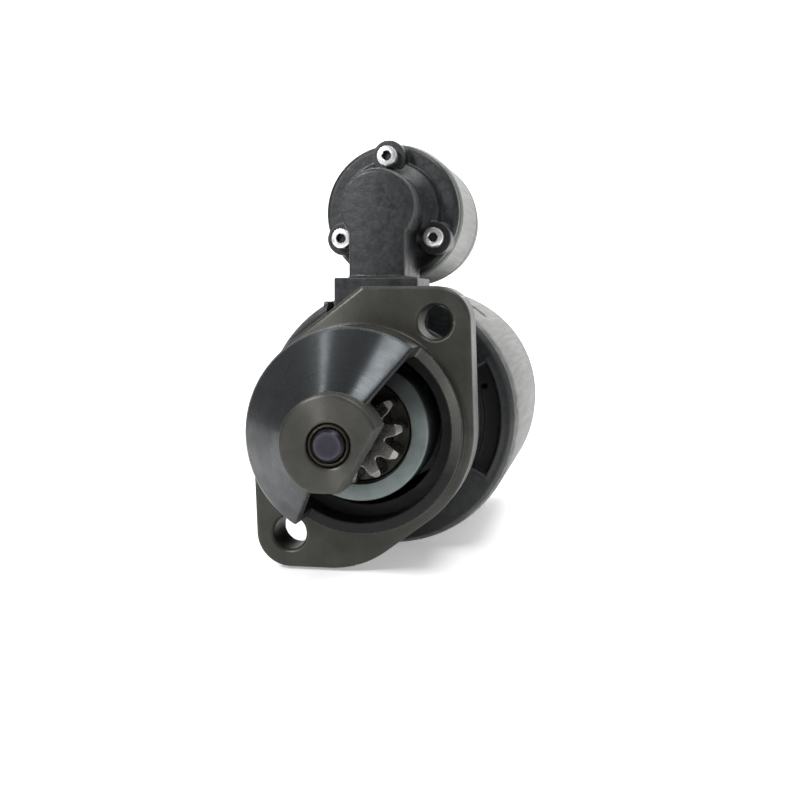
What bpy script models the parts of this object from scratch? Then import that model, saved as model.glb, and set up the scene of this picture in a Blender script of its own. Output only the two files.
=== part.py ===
"""Direct-drive starter motor with its solenoid on top, as separate named pieces.

Metres, +Z up. The origin is on the shaft's axis, in the plane of the mounting flange's front
face. The nose points towards -Y, the motor body lies towards +Y, and the solenoid is above it.
A profile is a list of (radius, y) pairs that runs down the outer side from the rear to the
front, then back along the inner side where the piece is hollow.
"""

import math

import bmesh
import bpy
from mathutils import Matrix, Vector

# Driving dimensions
PILOT_RADIUS = 0.04125
YOKE_RADIUS = 0.0575
SOLENOID_HEIGHT = 0.090
SOLENOID_RADIUS = 0.031
PLUNGER_STROKE = 0.012
GAP = 0.0003
FIT = 0.0002

# Facets of a full turn: large castings, medium turned pieces and small fasteners
COARSE_TURN = 40
MEDIUM_TURN = 24
SMALL_TURN = 12
SHARP_ANGLE = math.radians(32)

# Mounting flange and nose
FLANGE_THICKNESS = 0.018
FLANGE_ROUND = 0.045
FLANGE_TOUCH = math.radians(127)
LOW_CORNER_REACH = 0.013
BOLT_HOLE = (0.0295, 0.0425)
BOLT_HOLE_RADIUS = 0.0068
LOBE_RADIUS = 0.014
BOLT_HEAD_RADIUS = 0.0105
NOSE_SHOULDER = -0.020
BOSS_RADIUS = 0.0182
BOSS_FRONT = -0.0515
BOSS_BACK = -0.036
CONE_FRONT = -0.0445
CONE_FRONT_RADIUS = 0.0187
RIM_FRONT = -0.004
WINDOW_ANGLE = math.radians(34)
WINDOW_OFFSET = 0.002
BOSS_CUT_ANGLE = math.radians(30)
BOSS_CUT_OFFSET = 0.0123
BOSS_FLAT = -0.0171
PINION_ROOM_RADIUS = 0.0365
CLUTCH_ROOM_RADIUS = 0.031
NOSE_BUSH_RADIUS = 0.0078

# Shaft, drive and pinion
NOSE_JOURNAL = 0.006
SPLINE_RADIUS = 0.0083
CORE_SEAT_RADIUS = 0.009
SHAFT_FRONT = -0.053
SHAFT_REAR = 0.187
PINION_TEETH = 11
PINION_TIP = 0.0194
PINION_ROOT = 0.013
PINION_FRONT = -0.015
PINION_BACK = -0.0012
PINION_PHASE = math.radians(6.5)
PINION_HUB_RADIUS = 0.0125
COVER_RADIUS = 0.028
COVER_MOUTH = 0.021
COVER_FRONT = -0.004
COVER_BACK = 0.022
SLEEVE_RADIUS = 0.012
SLEEVE_BACK = 0.0632
GROOVE_Y = 0.0545
GROOVE_HALF = 0.0038
GUIDE_RADIUS = 0.021

# Lever housing
HOUSING_FRONT = FLANGE_THICKNESS + GAP
HOUSING_BACK = 0.0607
FRONT_BODY_RADIUS = 0.0425
DISC_FRONT = 0.050
DISC_EDGE = [(0.0573, 0.0575), (0.0563, 0.0530), (0.0546, DISC_FRONT)]
TAB_LOW = (-0.0288, 0.0530, 0.0440)
TAB_HIGH = (-0.0265, 0.0606, 0.0508)
SLOT_LOW = (-0.0265, 0.0480, 0.0455)
SLOT_HIGH = (-0.0215, 0.0620, 0.0600)
CAVITY_RADIUS = 0.0395
CAVITY_FRONT = 0.028
NECK_HALF = 0.0178
NECK_TOP = 0.0605
NECK_FRONT = 0.0285
NECK_ROOM_HALF = 0.0135
COLUMN_HALF = 0.0120
COLUMN_BACK = 0.070
DOME_RADIUS = 0.0160
DOME_FRONT = 0.030
DOME_ROOM_RADIUS = 0.0118
COLUMN_ROOM_HALF = 0.0088
UPPER_ROOM_BACK = 0.0660
SPIGOT_RADIUS = 0.0160
SPIGOT_FRONT = 0.0625
HOUSING_WALL = 0.0035
SEAT_RADIUS = 0.030
SEAT_FRONT = 0.064
SEAT_BACK = 0.0713
LUG_CIRCLE = 0.0235
LUG_RADIUS = 0.0073
LUG_FRONT = 0.0565
SCREW_HOLE_RADIUS = 0.0027
LUG_ANGLES = [math.radians(a) for a in (90, 210, 330)]
POCKET_RADIUS = 0.0505
POCKET_HALF_ANGLE = 29
POCKET_DEPTH = 0.003
POCKET_HOLE = (0.0429, 0.0141)
POCKET_HOLE_RADIUS = 0.0012

# Lever
PIVOT_Y = 0.0465
PIVOT_Z = 0.051
PIN_RADIUS = 0.0035
UPPER_ARM = SOLENOID_HEIGHT - PIVOT_Z
LOWER_ARM = PIVOT_Z
LEVER_TILT = math.asin(PLUNGER_STROKE / 2 / UPPER_ARM)

# Motor
YOKE_FRONT = HOUSING_BACK + GAP
YOKE_BACK = 0.168
YOKE_BORE = 0.051
POLE_FACE = 0.0383
POLE_SCREW_Y = 0.106
POLE_ANGLES = [math.radians(56.5 + 90 * i) for i in range(4)]
CORE_RADIUS = 0.0374
CORE_FRONT = 0.079
CORE_BACK = 0.137
COMMUTATOR_RADIUS = 0.0175
COMMUTATOR_FRONT = 0.1445
COMMUTATOR_BACK = 0.1625
BOLT_CIRCLE = 0.0465
BOLT_TIP = 0.0548
BOLT_RADIUS = 0.003
END_CAP_RADIUS = 0.0565
END_CAP_BACK = 0.190
BRUSH_PLATE_FRONT = 0.1625

# Solenoid
CASE_FRONT = SEAT_BACK + GAP
CASE_BACK = 0.127
PLUNGER_RADIUS = 0.0125
CAP_BACK = 0.1445
STUD_PLACE = (0.0075, 0.0106)
STUD_RADIUS = 0.004
STUD_END = 0.1605
NUT_FRONT = 0.1469
NUT_BACK = 0.1530
LEAD_HOLE_Y = 0.1565
LEAD_HOLE_RADIUS = 0.0075
STRAP_HALF = 0.0045
STRAP_THICKNESS = 0.0018
EYE_RADIUS = 0.0072


def clear_scene():
    for obj in list(bpy.data.objects):
        bpy.data.objects.remove(obj)


def new_collection(name):
    collection = bpy.data.collections.new(name)
    bpy.context.scene.collection.children.link(collection)
    return collection


def new_material(name, colour, roughness, metallic):
    material = bpy.data.materials.new(name)
    material.use_nodes = True
    shader = material.node_tree.nodes["Principled BSDF"]
    shader.inputs["Base Color"].default_value = (*colour, 1)
    shader.inputs["Roughness"].default_value = roughness
    shader.inputs["Metallic"].default_value = metallic
    material.diffuse_color = (*colour, 1)
    return material


# Shapes


def working_object(data):
    obj = bpy.data.objects.new("working", data)
    bpy.context.scene.collection.objects.link(obj)
    return obj


def frozen(obj, face_out=False):
    """The same object with its modifiers, or its curve, turned into a plain mesh."""
    bpy.context.view_layer.update()
    depsgraph = bpy.context.evaluated_depsgraph_get()
    mesh = bpy.data.meshes.new_from_object(obj.evaluated_get(depsgraph))
    mesh.transform(obj.matrix_world)
    bpy.data.objects.remove(obj)
    bm = bmesh.new()
    bm.from_mesh(mesh)
    bmesh.ops.remove_doubles(bm, verts=bm.verts, dist=1e-6)
    if face_out:
        bmesh.ops.recalc_face_normals(bm, faces=bm.faces)
    bm.to_mesh(mesh)
    bm.free()
    return working_object(mesh)


def moved(obj, matrix):
    obj.data.transform(matrix)
    return obj


def turned(profile, segments=MEDIUM_TURN):
    """A profile of (radius, y) pairs turned about the Y axis."""
    mesh = bpy.data.meshes.new("turned")
    corners = [(radius, 0, along) for radius, along in profile]
    edges = [(i, i + 1) for i in range(len(corners) - 1)]
    if profile[0][0] > 0:
        edges.append((len(corners) - 1, 0))
    mesh.from_pydata(corners, edges, [])
    obj = working_object(mesh)
    screw = obj.modifiers.new("turn", "SCREW")
    screw.steps = segments
    screw.render_steps = segments
    screw.use_merge_vertices = True
    screw.merge_threshold = 1e-6
    obj.matrix_world = Matrix.Rotation(math.radians(-90), 4, "X")
    return frozen(obj)


def rod(radius, start, end, segments=SMALL_TURN):
    """A cylinder between two points."""
    start = Vector(start)
    axis = Vector(end) - start
    turn = axis.to_track_quat("Z", "Y").to_matrix().to_4x4()
    bm = bmesh.new()
    bmesh.ops.create_cone(
        bm,
        cap_ends=True,
        segments=segments,
        radius1=radius,
        radius2=radius,
        depth=axis.length,
        matrix=Matrix.Translation(start + axis / 2) @ turn,
    )
    mesh = bpy.data.meshes.new("rod")
    bm.to_mesh(mesh)
    bm.free()
    return working_object(mesh)


def box(low, high):
    size = Vector(high) - Vector(low)
    middle = (Vector(high) + Vector(low)) / 2
    bm = bmesh.new()
    placing = Matrix.Translation(middle) @ Matrix.Diagonal((*size, 1))
    bmesh.ops.create_cube(bm, size=1, matrix=placing)
    mesh = bpy.data.meshes.new("box")
    bm.to_mesh(mesh)
    bm.free()
    return working_object(mesh)


def prism(outline, low, high, across="Y"):
    """A flat outline drawn in XZ (across Y) or in YZ (across X), thickened from low to high."""
    curve = bpy.data.curves.new("outline", "CURVE")
    curve.dimensions = "2D"
    curve.fill_mode = "BOTH"
    curve.extrude = (high - low) / 2
    spline = curve.splines.new("POLY")
    spline.points.add(len(outline) - 1)
    for point, (u, v) in zip(spline.points, outline):
        point.co = (u, v, 0, 1)
    spline.use_cyclic_u = True
    obj = working_object(curve)
    middle = (high + low) / 2
    if across == "Y":
        obj.matrix_world = Matrix.Translation((0, middle, 0)) @ Matrix.Rotation(math.radians(90), 4, "X")
    else:
        stand_up = Matrix(((0, 0, 1, middle), (1, 0, 0, 0), (0, 1, 0, 0), (0, 0, 0, 1)))
        obj.matrix_world = stand_up
    return frozen(obj, face_out=True)


def coil(radius, wire, turns, start, end, matrix=Matrix()):
    """A helical spring about the Y axis, from start to end along it."""
    per_turn = 8
    count = int(turns * per_turn)
    curve = bpy.data.curves.new("coil", "CURVE")
    curve.dimensions = "3D"
    curve.bevel_depth = wire
    curve.bevel_resolution = 0
    curve.use_fill_caps = True
    spline = curve.splines.new("POLY")
    spline.points.add(count)
    for i, point in enumerate(spline.points):
        angle = 2 * math.pi * i / per_turn
        along = start + wire + (end - start - 2 * wire) * i / count
        place = matrix @ Vector((radius * math.cos(angle), along, radius * math.sin(angle)))
        point.co = (*place, 1)
    return frozen(working_object(curve))


def combined(target, tool, operation):
    change = target.modifiers.new("change", "BOOLEAN")
    change.operation = operation
    change.solver = "EXACT"
    change.object = tool
    result = frozen(target)
    bpy.data.objects.remove(tool)
    return result


def cut(target, *tools):
    for tool in tools:
        target = combined(target, tool, "DIFFERENCE")
    return target


def join(target, *tools):
    for tool in tools:
        target = combined(target, tool, "UNION")
    return target


def arc(centre, radius, start, end, steps):
    """Points on an arc, angles in degrees."""
    points = []
    for i in range(steps + 1):
        angle = math.radians(start + (end - start) * i / steps)
        points.append((centre[0] + radius * math.cos(angle), centre[1] + radius * math.sin(angle)))
    return points


def rounded_corner(before, corner, after, reach, steps=5):
    """Points on a curve that starts and ends at a distance of reach from a corner."""
    corner = Vector(corner)
    start = corner + (Vector(before) - corner).normalized() * reach
    end = corner + (Vector(after) - corner).normalized() * reach
    points = []
    for i in range(steps + 1):
        t = i / steps
        points.append(tuple(start * (1 - t) ** 2 + corner * 2 * t * (1 - t) + end * t**2))
    return points


def about_shaft(angle):
    """Turns a piece drawn above the shaft, on +Z, to an angle measured from +X."""
    return Matrix.Rotation(math.radians(90) - angle, 4, "Y")


def on_solenoid(x=0.0, z=0.0):
    return Matrix.Translation((x, 0, SOLENOID_HEIGHT + z))


def lifted(shape, z=SOLENOID_HEIGHT):
    return moved(shape, Matrix.Translation((0, 0, z)))


class Assembly:
    """Names the finished pieces, and hangs the moving ones on empties at their joints."""

    def __init__(self):
        self.collection = new_collection("starter_motor")
        self.bodies = {}
        self.materials = {
            "machined": new_material("machined_casting", (0.20, 0.20, 0.19), 0.42, 0.85),
            "black": new_material("black_casting", (0.022, 0.024, 0.027), 0.48, 0.2),
            "pale": new_material("pale_steel", (0.42, 0.43, 0.40), 0.38, 0.7),
            "zinc": new_material("zinc_steel", (0.36, 0.42, 0.40), 0.35, 0.9),
            "steel": new_material("dark_steel", (0.25, 0.25, 0.25), 0.30, 0.95),
            "bright": new_material("bright_steel", (0.62, 0.62, 0.60), 0.25, 1.0),
            "bronze": new_material("bronze", (0.42, 0.30, 0.16), 0.35, 0.95),
            "copper": new_material("copper", (0.60, 0.28, 0.14), 0.35, 0.95),
            "plastic": new_material("black_plastic", (0.02, 0.02, 0.02), 0.45, 0.0),
            "rubber": new_material("rubber", (0.025, 0.025, 0.025), 0.80, 0.0),
            "carbon": new_material("carbon", (0.05, 0.05, 0.05), 0.60, 0.1),
        }

    def body(self, name, place=(0, 0, 0), parent=None):
        empty = bpy.data.objects.new(name, None)
        empty.empty_display_size = 0.01
        self.collection.objects.link(empty)
        empty.matrix_world = Matrix.Translation(place)
        if parent:
            empty.parent = self.bodies[parent]
            empty.matrix_parent_inverse = self.bodies[parent].matrix_world.inverted()
        self.bodies[name] = empty
        bpy.context.view_layer.update()

    def add(self, name, shape, material, body=None):
        piece = bpy.data.objects.new(name, shape.data)
        bpy.data.objects.remove(shape)
        piece.data.name = name
        piece.data.materials.clear()
        piece.data.materials.append(self.materials[material])
        piece.data.shade_smooth()
        piece.data.set_sharp_from_angle(angle=SHARP_ANGLE)
        self.collection.objects.link(piece)
        if body:
            empty = self.bodies[body]
            piece.data.transform(empty.matrix_world.inverted())
            piece.parent = empty


# Nose bracket


def flange_outline():
    """Two bolt lobes joined by a straight edge, a corner and a round side, twice.

    The upper corner is sharp and the lower one is rounded.
    """
    top = BOLT_HOLE[1] + LOBE_RADIUS
    run = (top - FLANGE_ROUND * math.sin(FLANGE_TOUCH)) / -math.cos(FLANGE_TOUCH)
    corner = (FLANGE_ROUND * math.cos(FLANGE_TOUCH) + run * math.sin(FLANGE_TOUCH), top)
    lobe = arc(BOLT_HOLE, LOBE_RADIUS, 0, 90, 8)
    side = arc((0, 0), FLANGE_ROUND, math.degrees(FLANGE_TOUCH), 180, 8)
    lower = lobe + rounded_corner(lobe[-1], corner, side[0], LOW_CORNER_REACH) + side
    return lobe + [corner] + side + [(-x, -z) for x, z in lower]


def plane_cutter(angle, offset, front, back):
    """Everything beyond a plane parallel to the shaft, whose normal dips below +X by angle."""
    reach = 0.07
    slab = box((offset, front, -reach), (offset + reach, back, reach))
    return moved(slab, Matrix.Rotation(angle, 4, "Y"))


def bolt_hole_rods(radius, front, back, segments=MEDIUM_TURN):
    x, z = BOLT_HOLE
    return [rod(radius, (s * x, front, s * z), (s * x, back, s * z), segments) for s in (1, -1)]


def drive_end_bracket():
    nose = turned(
        [
            (0, 0.010),
            (PILOT_RADIUS, 0.010),
            (PILOT_RADIUS, NOSE_SHOULDER),
            (CONE_FRONT_RADIUS, CONE_FRONT),
            (0, CONE_FRONT),
        ],
        COARSE_TURN,
    )
    nose = cut(nose, plane_cutter(WINDOW_ANGLE, WINDOW_OFFSET, -0.07, RIM_FRONT))
    boss = rod(BOSS_RADIUS, (0, BOSS_FRONT, 0), (0, BOSS_BACK + 0.002, 0), MEDIUM_TURN)
    boss = cut(boss, plane_cutter(BOSS_CUT_ANGLE, BOSS_CUT_OFFSET, -0.07, -0.02))
    boss = cut(boss, box((-0.03, -0.07, -0.03), (0.03, -0.02, BOSS_FLAT)))
    body = join(prism(flange_outline(), 0, FLANGE_THICKNESS), nose, boss)
    room = turned(
        [
            (0, 0.020),
            (CLUTCH_ROOM_RADIUS, 0.020),
            (CLUTCH_ROOM_RADIUS, 0.008),
            (PINION_ROOM_RADIUS, 0.008),
            (PINION_ROOM_RADIUS, -0.017),
            (0.0205, BOSS_BACK),
            (0, BOSS_BACK),
        ],
        COARSE_TURN,
    )
    bore = rod(NOSE_BUSH_RADIUS + FIT, (0, BOSS_FRONT - 0.002, 0), (0, BOSS_BACK + 0.002, 0), MEDIUM_TURN)
    return cut(body, room, bore, *bolt_hole_rods(BOLT_HOLE_RADIUS, -0.005, 0.025))


# Armature


def armature_shaft():
    return turned(
        [
            (0, SHAFT_REAR),
            (0.006, SHAFT_REAR),
            (0.006, 0.170),
            (0.0075, 0.170),
            (0.0075, 0.140),
            (CORE_SEAT_RADIUS, 0.140),
            (CORE_SEAT_RADIUS, SLEEVE_BACK + 0.0006),
            (SPLINE_RADIUS, SLEEVE_BACK + 0.0006),
            (SPLINE_RADIUS, 0.020),
            (NOSE_JOURNAL, 0.020),
            (NOSE_JOURNAL, SHAFT_FRONT + 0.001),
            (NOSE_JOURNAL - 0.001, SHAFT_FRONT),
            (0, SHAFT_FRONT),
        ]
    )


def slotted_outline(tip, root, count, land):
    """A round outline with count slots. Land is the part of each pitch that stays full."""
    points = []
    pitch = 2 * math.pi / count
    for i in range(count):
        middle = i * pitch
        half = pitch * land / 2
        for radius, angle in ((root, -half), (tip, -half), (tip, half), (root, half)):
            points.append((radius * math.cos(middle + angle), radius * math.sin(middle + angle)))
    return points


def armature_core():
    stack = prism(slotted_outline(CORE_RADIUS, 0.0345, 16, 0.78), CORE_FRONT, CORE_BACK)
    windings = turned([(0, 0.143), (0.026, 0.143), (0.033, 0.136), (0.033, 0.080), (0.026, 0.0735), (0, 0.0735)])
    bore = rod(CORE_SEAT_RADIUS + FIT, (0, 0.06, 0), (0, 0.15, 0), MEDIUM_TURN)
    return cut(join(stack, windings), bore)


def commutator():
    bars = prism(slotted_outline(COMMUTATOR_RADIUS, 0.0160, 18, 0.84), COMMUTATOR_FRONT, COMMUTATOR_BACK)
    return cut(bars, rod(0.0075 + FIT, (0, 0.14, 0), (0, 0.17, 0), MEDIUM_TURN))


def ring(inner, outer, front, back, segments=MEDIUM_TURN):
    return turned([(outer, back), (outer, front), (inner, front), (inner, back)], segments)


# Drive


def pinion_outline():
    points = []
    pitch = 2 * math.pi / PINION_TEETH
    middle_radius = (PINION_TIP + PINION_ROOT) / 2
    half_widths = ((PINION_ROOT, 0.34), (middle_radius, 0.26), (PINION_TIP, 0.13))
    for i in range(PINION_TEETH):
        middle = PINION_PHASE + i * pitch
        flank = [(radius, -half) for radius, half in half_widths]
        for radius, half in flank + [(radius, -turn) for radius, turn in reversed(flank)]:
            angle = middle + half * pitch
            points.append((radius * math.cos(angle), radius * math.sin(angle)))
    return points


def pinion():
    teeth = prism(pinion_outline(), PINION_FRONT, PINION_BACK)
    hub = rod(PINION_HUB_RADIUS, (0, -0.003, 0), (0, 0.0165, 0), MEDIUM_TURN)
    bore = rod(NOSE_JOURNAL + GAP, (0, -0.02, 0), (0, 0.02, 0), MEDIUM_TURN)
    return cut(join(teeth, hub), bore)


def clutch_shell():
    shell_radius = COVER_RADIUS - 0.001 - GAP
    hub_room = PINION_HUB_RADIUS + GAP
    return turned(
        [
            (0.0145, SLEEVE_BACK),
            (0.0145, GROOVE_Y + GROOVE_HALF + 0.0025),
            (SLEEVE_RADIUS, GROOVE_Y + GROOVE_HALF + 0.0025),
            (SLEEVE_RADIUS, 0.0205),
            (shell_radius, 0.0205),
            (shell_radius, PINION_BACK + GAP),
            (hub_room, PINION_BACK + GAP),
            (hub_room, 0.0175),
            (SPLINE_RADIUS + GAP, 0.0175),
            (SPLINE_RADIUS + GAP, SLEEVE_BACK),
        ]
    )


def clutch_cover():
    wall = 0.001
    bend = 0.0018
    outer = [(COVER_RADIUS - bend + bend * math.cos(t), COVER_FRONT + bend - bend * math.sin(t))
             for t in (0, math.pi / 6, math.pi / 3, math.pi / 2)]
    profile = [(0.0245, COVER_BACK), (COVER_RADIUS, COVER_BACK)] + outer
    profile += [(COVER_MOUTH, COVER_FRONT), (COVER_MOUTH, COVER_FRONT + wall)]
    profile += [(COVER_RADIUS - wall, COVER_FRONT + wall), (COVER_RADIUS - wall, COVER_BACK - wall)]
    profile.append((0.0245, COVER_BACK - wall))
    return turned(profile)


def guide_ring():
    rim = 0.0022
    bore = SLEEVE_RADIUS + GAP
    front = GROOVE_Y - GROOVE_HALF
    back = GROOVE_Y + GROOVE_HALF
    return turned(
        [
            (GUIDE_RADIUS, back + rim),
            (GUIDE_RADIUS, back),
            (0.015, back),
            (0.015, front),
            (GUIDE_RADIUS, front),
            (GUIDE_RADIUS, front - rim),
            (bore, front - rim),
            (bore, back + rim),
        ]
    )


# Lever and its housing


def shift_lever():
    """Drawn upright about its pivot at the origin, then tilted to its rest position."""
    fork_half = 0.0255
    leg_inner = 0.0218
    foot = -LOWER_ARM - 0.004
    right = [(0.0080, -0.002), (COLUMN_HALF, -0.014), (fork_half, -0.0235), (fork_half, foot)]
    right += [(leg_inner, foot), (leg_inner, -0.034), (0.012, -0.0285)]
    fork = prism(right + [(-x, z) for x, z in reversed(right)], -0.003, 0.003)
    hub = rod(0.0075, (-0.0083, 0, 0), (0.0083, 0, 0))
    arm = box((-0.0039, -0.0022, 0), (0.0039, 0.0022, UPPER_ARM))
    tip = rod(0.0036, (-0.004, 0, UPPER_ARM), (0.004, 0, UPPER_ARM))
    pegs = [rod(0.0028, (s * 0.0165, 0, -LOWER_ARM), (s * 0.023, 0, -LOWER_ARM)) for s in (1, -1)]
    bore = rod(PIN_RADIUS + FIT, (-0.02, 0, 0), (0.02, 0, 0))
    lever = cut(join(fork, hub, arm, tip, *pegs), bore)
    tilt = Matrix.Rotation(LEVER_TILT, 4, "X")
    return moved(lever, Matrix.Translation((0, PIVOT_Y, PIVOT_Z)) @ tilt)


def lug_places():
    return [(LUG_CIRCLE * math.cos(a), SOLENOID_HEIGHT + LUG_CIRCLE * math.sin(a)) for a in LUG_ANGLES]


def solenoid_seat():
    """The stepped round flange that the solenoid is screwed to, with its three lugs."""
    seat = turned(
        [
            (0, SEAT_BACK),
            (SEAT_RADIUS, SEAT_BACK),
            (SEAT_RADIUS, SEAT_FRONT + 0.0015),
            (SEAT_RADIUS - 0.0015, SEAT_FRONT),
            (0.0225, SEAT_FRONT),
            (0.0215, 0.0590),
            (0.0186, 0.0566),
            (0.0165, 0.0550),
            (0, 0.0550),
        ],
        COARSE_TURN,
    )
    lugs = [rod(LUG_RADIUS, (x, LUG_FRONT, z), (x, SEAT_BACK - FIT, z)) for x, z in lug_places()]
    return join(lifted(seat), *lugs)


def pocket_cutter(side):
    inner = FRONT_BODY_RADIUS + 0.0008
    outline = arc((0, 0), POCKET_RADIUS, -POCKET_HALF_ANGLE, POCKET_HALF_ANGLE, 10)
    outline += arc((0, 0), inner, POCKET_HALF_ANGLE, -POCKET_HALF_ANGLE, 10)
    outline = [(side * x, z) for x, z in outline]
    return prism(outline, DISC_FRONT - 0.002, DISC_FRONT + POCKET_DEPTH)


def lever_housing():
    body = turned(
        [
            (0, HOUSING_BACK),
            (YOKE_RADIUS, HOUSING_BACK),
            *DISC_EDGE,
            (FRONT_BODY_RADIUS, DISC_FRONT),
            (FRONT_BODY_RADIUS, HOUSING_FRONT),
            (0, HOUSING_FRONT),
        ],
        COARSE_TURN,
    )
    neck = box((-NECK_HALF, NECK_FRONT, 0.030), (NECK_HALF, HOUSING_BACK - 0.0001, NECK_TOP))
    body = join(body, neck, box(TAB_LOW, TAB_HIGH))
    column = box((-COLUMN_HALF, DOME_FRONT, 0.038), (COLUMN_HALF, 0.0600, SOLENOID_HEIGHT))
    column_foot = box((-COLUMN_HALF, 0.0590, 0.0585), (COLUMN_HALF, COLUMN_BACK, SOLENOID_HEIGHT))
    dome = lifted(rod(DOME_RADIUS, (0, DOME_FRONT - 0.0001, 0), (0, COLUMN_BACK - 0.0005, 0), MEDIUM_TURN))
    body = join(body, column, column_foot, dome, solenoid_seat())
    room = turned(
        [
            (0, HOUSING_BACK + 0.002),
            (CAVITY_RADIUS, HOUSING_BACK + 0.002),
            (CAVITY_RADIUS, CAVITY_FRONT),
            (CLUTCH_ROOM_RADIUS, CAVITY_FRONT),
            (CLUTCH_ROOM_RADIUS, HOUSING_FRONT - 0.002),
            (0, HOUSING_FRONT - 0.002),
        ],
        COARSE_TURN,
    )
    inner_front = DOME_FRONT + HOUSING_WALL
    neck_room = box((-NECK_ROOM_HALF, inner_front, 0.028), (NECK_ROOM_HALF, 0.0565, 0.0545))
    column_room = box((-COLUMN_ROOM_HALF, inner_front, 0.050), (COLUMN_ROOM_HALF, 0.0560, SOLENOID_HEIGHT))
    upper_room = box((-COLUMN_ROOM_HALF, 0.0550, 0.0640), (COLUMN_ROOM_HALF, UPPER_ROOM_BACK, SOLENOID_HEIGHT))
    dome_room = lifted(rod(DOME_ROOM_RADIUS, (0, inner_front, 0), (0, UPPER_ROOM_BACK, 0), MEDIUM_TURN))
    spigot = lifted(rod(SPIGOT_RADIUS, (0, SPIGOT_FRONT, 0), (0, SEAT_BACK + 0.002, 0), MEDIUM_TURN))
    body = cut(body, room, neck_room, column_room, upper_room, dome_room, spigot)
    body = cut(body, rod(PIN_RADIUS + FIT, (-0.03, PIVOT_Y, PIVOT_Z), (0.03, PIVOT_Y, PIVOT_Z)))
    body = cut(body, *[rod(SCREW_HOLE_RADIUS, (x, 0.05, z), (x, 0.08, z)) for x, z in lug_places()])
    for x in (BOLT_CIRCLE, -BOLT_CIRCLE):
        body = cut(body, rod(BOLT_RADIUS + GAP, (x, BOLT_TIP - GAP, 0), (x, 0.065, 0)))
    body = cut(body, *bolt_hole_rods(BOLT_HEAD_RADIUS, 0.010, 0.027))
    x, z = POCKET_HOLE
    hole = rod(POCKET_HOLE_RADIUS, (x, DISC_FRONT, z), (x, DISC_FRONT + 0.007, z))
    return cut(body, pocket_cutter(1), pocket_cutter(-1), hole, box(SLOT_LOW, SLOT_HIGH))


def centre_bearing_plate():
    bore = CORE_SEAT_RADIUS + FIT
    plate = turned(
        [
            (0.0505, 0.0635),
            (0.0505, YOKE_FRONT),
            (0.0360, YOKE_FRONT),
            (0.0300, 0.0643),
            (bore, 0.0643),
            (bore, 0.0720),
            (0.0150, 0.0720),
            (0.0155, 0.0668),
            (0.0290, 0.0668),
            (0.0345, 0.0635),
        ],
        COARSE_TURN,
    )
    holes = [rod(0.0034, (s * BOLT_CIRCLE, 0.05, 0), (s * BOLT_CIRCLE, 0.07, 0)) for s in (1, -1)]
    return cut(plate, *holes)


# Motor body


def yoke_tube():
    tube = ring(YOKE_BORE, YOKE_RADIUS, YOKE_FRONT, YOKE_BACK, COARSE_TURN)
    for angle in POLE_ANGLES:
        hole = rod(0.0033, (0, POLE_SCREW_Y, 0.045), (0, POLE_SCREW_Y, 0.065))
        sink = upright([(0, 0.0600), (0.0110, 0.0600), (0.0034, 0.0524), (0, 0.0524)], POLE_SCREW_Y)
        tube = cut(tube, moved(join(hole, sink), about_shaft(angle)))
    x = -STUD_PLACE[0]
    return cut(tube, rod(LEAD_HOLE_RADIUS, (x, LEAD_HOLE_Y, 0.045), (x, LEAD_HOLE_Y, 0.065)))


def upright(profile, y):
    """A profile of (radius, z) pairs turned about a vertical line above the shaft."""
    standing = turned(profile, SMALL_TURN)
    return moved(standing, Matrix.Translation((0, y, 0)) @ Matrix.Rotation(math.radians(90), 4, "X"))


def pole_shoe(angle):
    """A curved face on a narrower waist, which the coil sits around."""
    waist = 0.013
    back_radius = YOKE_BORE - GAP
    back_angle = math.degrees(math.acos(waist / back_radius))
    face_half_angle = 34
    tip = (0.0415 * math.sin(math.radians(face_half_angle)), 0.0415 * math.cos(math.radians(face_half_angle)))
    outline = arc((0, 0), back_radius, back_angle, 180 - back_angle, 4)
    outline += [(-waist, 0.0403), (-tip[0], tip[1])]
    outline += arc((0, 0), POLE_FACE, 90 + face_half_angle, 90 - face_half_angle, 8)
    outline += [tip, (waist, 0.0403)]
    shoe = prism(outline, 0.0765, 0.1345)
    hole = rod(0.0033, (0, POLE_SCREW_Y, 0.0415), (0, POLE_SCREW_Y, 0.055))
    return moved(cut(shoe, hole), about_shaft(angle))


def field_coil(angle):
    winding = ring(0.0434, 0.0504, 0.0710, 0.1400, COARSE_TURN)
    keep = box((-0.0225, 0.060, 0.020), (0.0225, 0.150, 0.060))
    winding = combined(winding, keep, "INTERSECT")
    window = box((-0.0135, 0.0760, 0.020), (0.0135, 0.1350, 0.060))
    return moved(cut(winding, window), about_shaft(angle))


def pole_screw(angle):
    screw = upright([(0, 0.0568), (0.0075, 0.0568), (0.003, 0.0523), (0.003, 0.0425), (0, 0.0425)], POLE_SCREW_Y)
    recess = rod(0.0030, (0, POLE_SCREW_Y, 0.0540), (0, POLE_SCREW_Y, 0.0600), 6)
    return moved(cut(screw, recess), about_shaft(angle))


def commutator_end_cap():
    rear_bore = 0.0085 + FIT
    cap = turned(
        [
            (END_CAP_RADIUS - 0.004, END_CAP_BACK),
            (END_CAP_RADIUS, END_CAP_BACK - 0.004),
            (END_CAP_RADIUS, YOKE_BACK + GAP),
            (0.0525, YOKE_BACK + GAP),
            (0.0525, 0.185),
            (0.013, 0.185),
            (0.012, 0.174),
            (rear_bore, 0.174),
            (rear_bore, END_CAP_BACK),
        ],
        COARSE_TURN,
    )
    bolts = [rod(0.0034, (s * BOLT_CIRCLE, 0.18, 0), (s * BOLT_CIRCLE, 0.2, 0)) for s in (1, -1)]
    small = [rod(0.0021, (0, 0.18, z), (0, 0.2, z)) for z in (0.0185, -0.0185)]
    return cut(cap, *bolts, *small)


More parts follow.
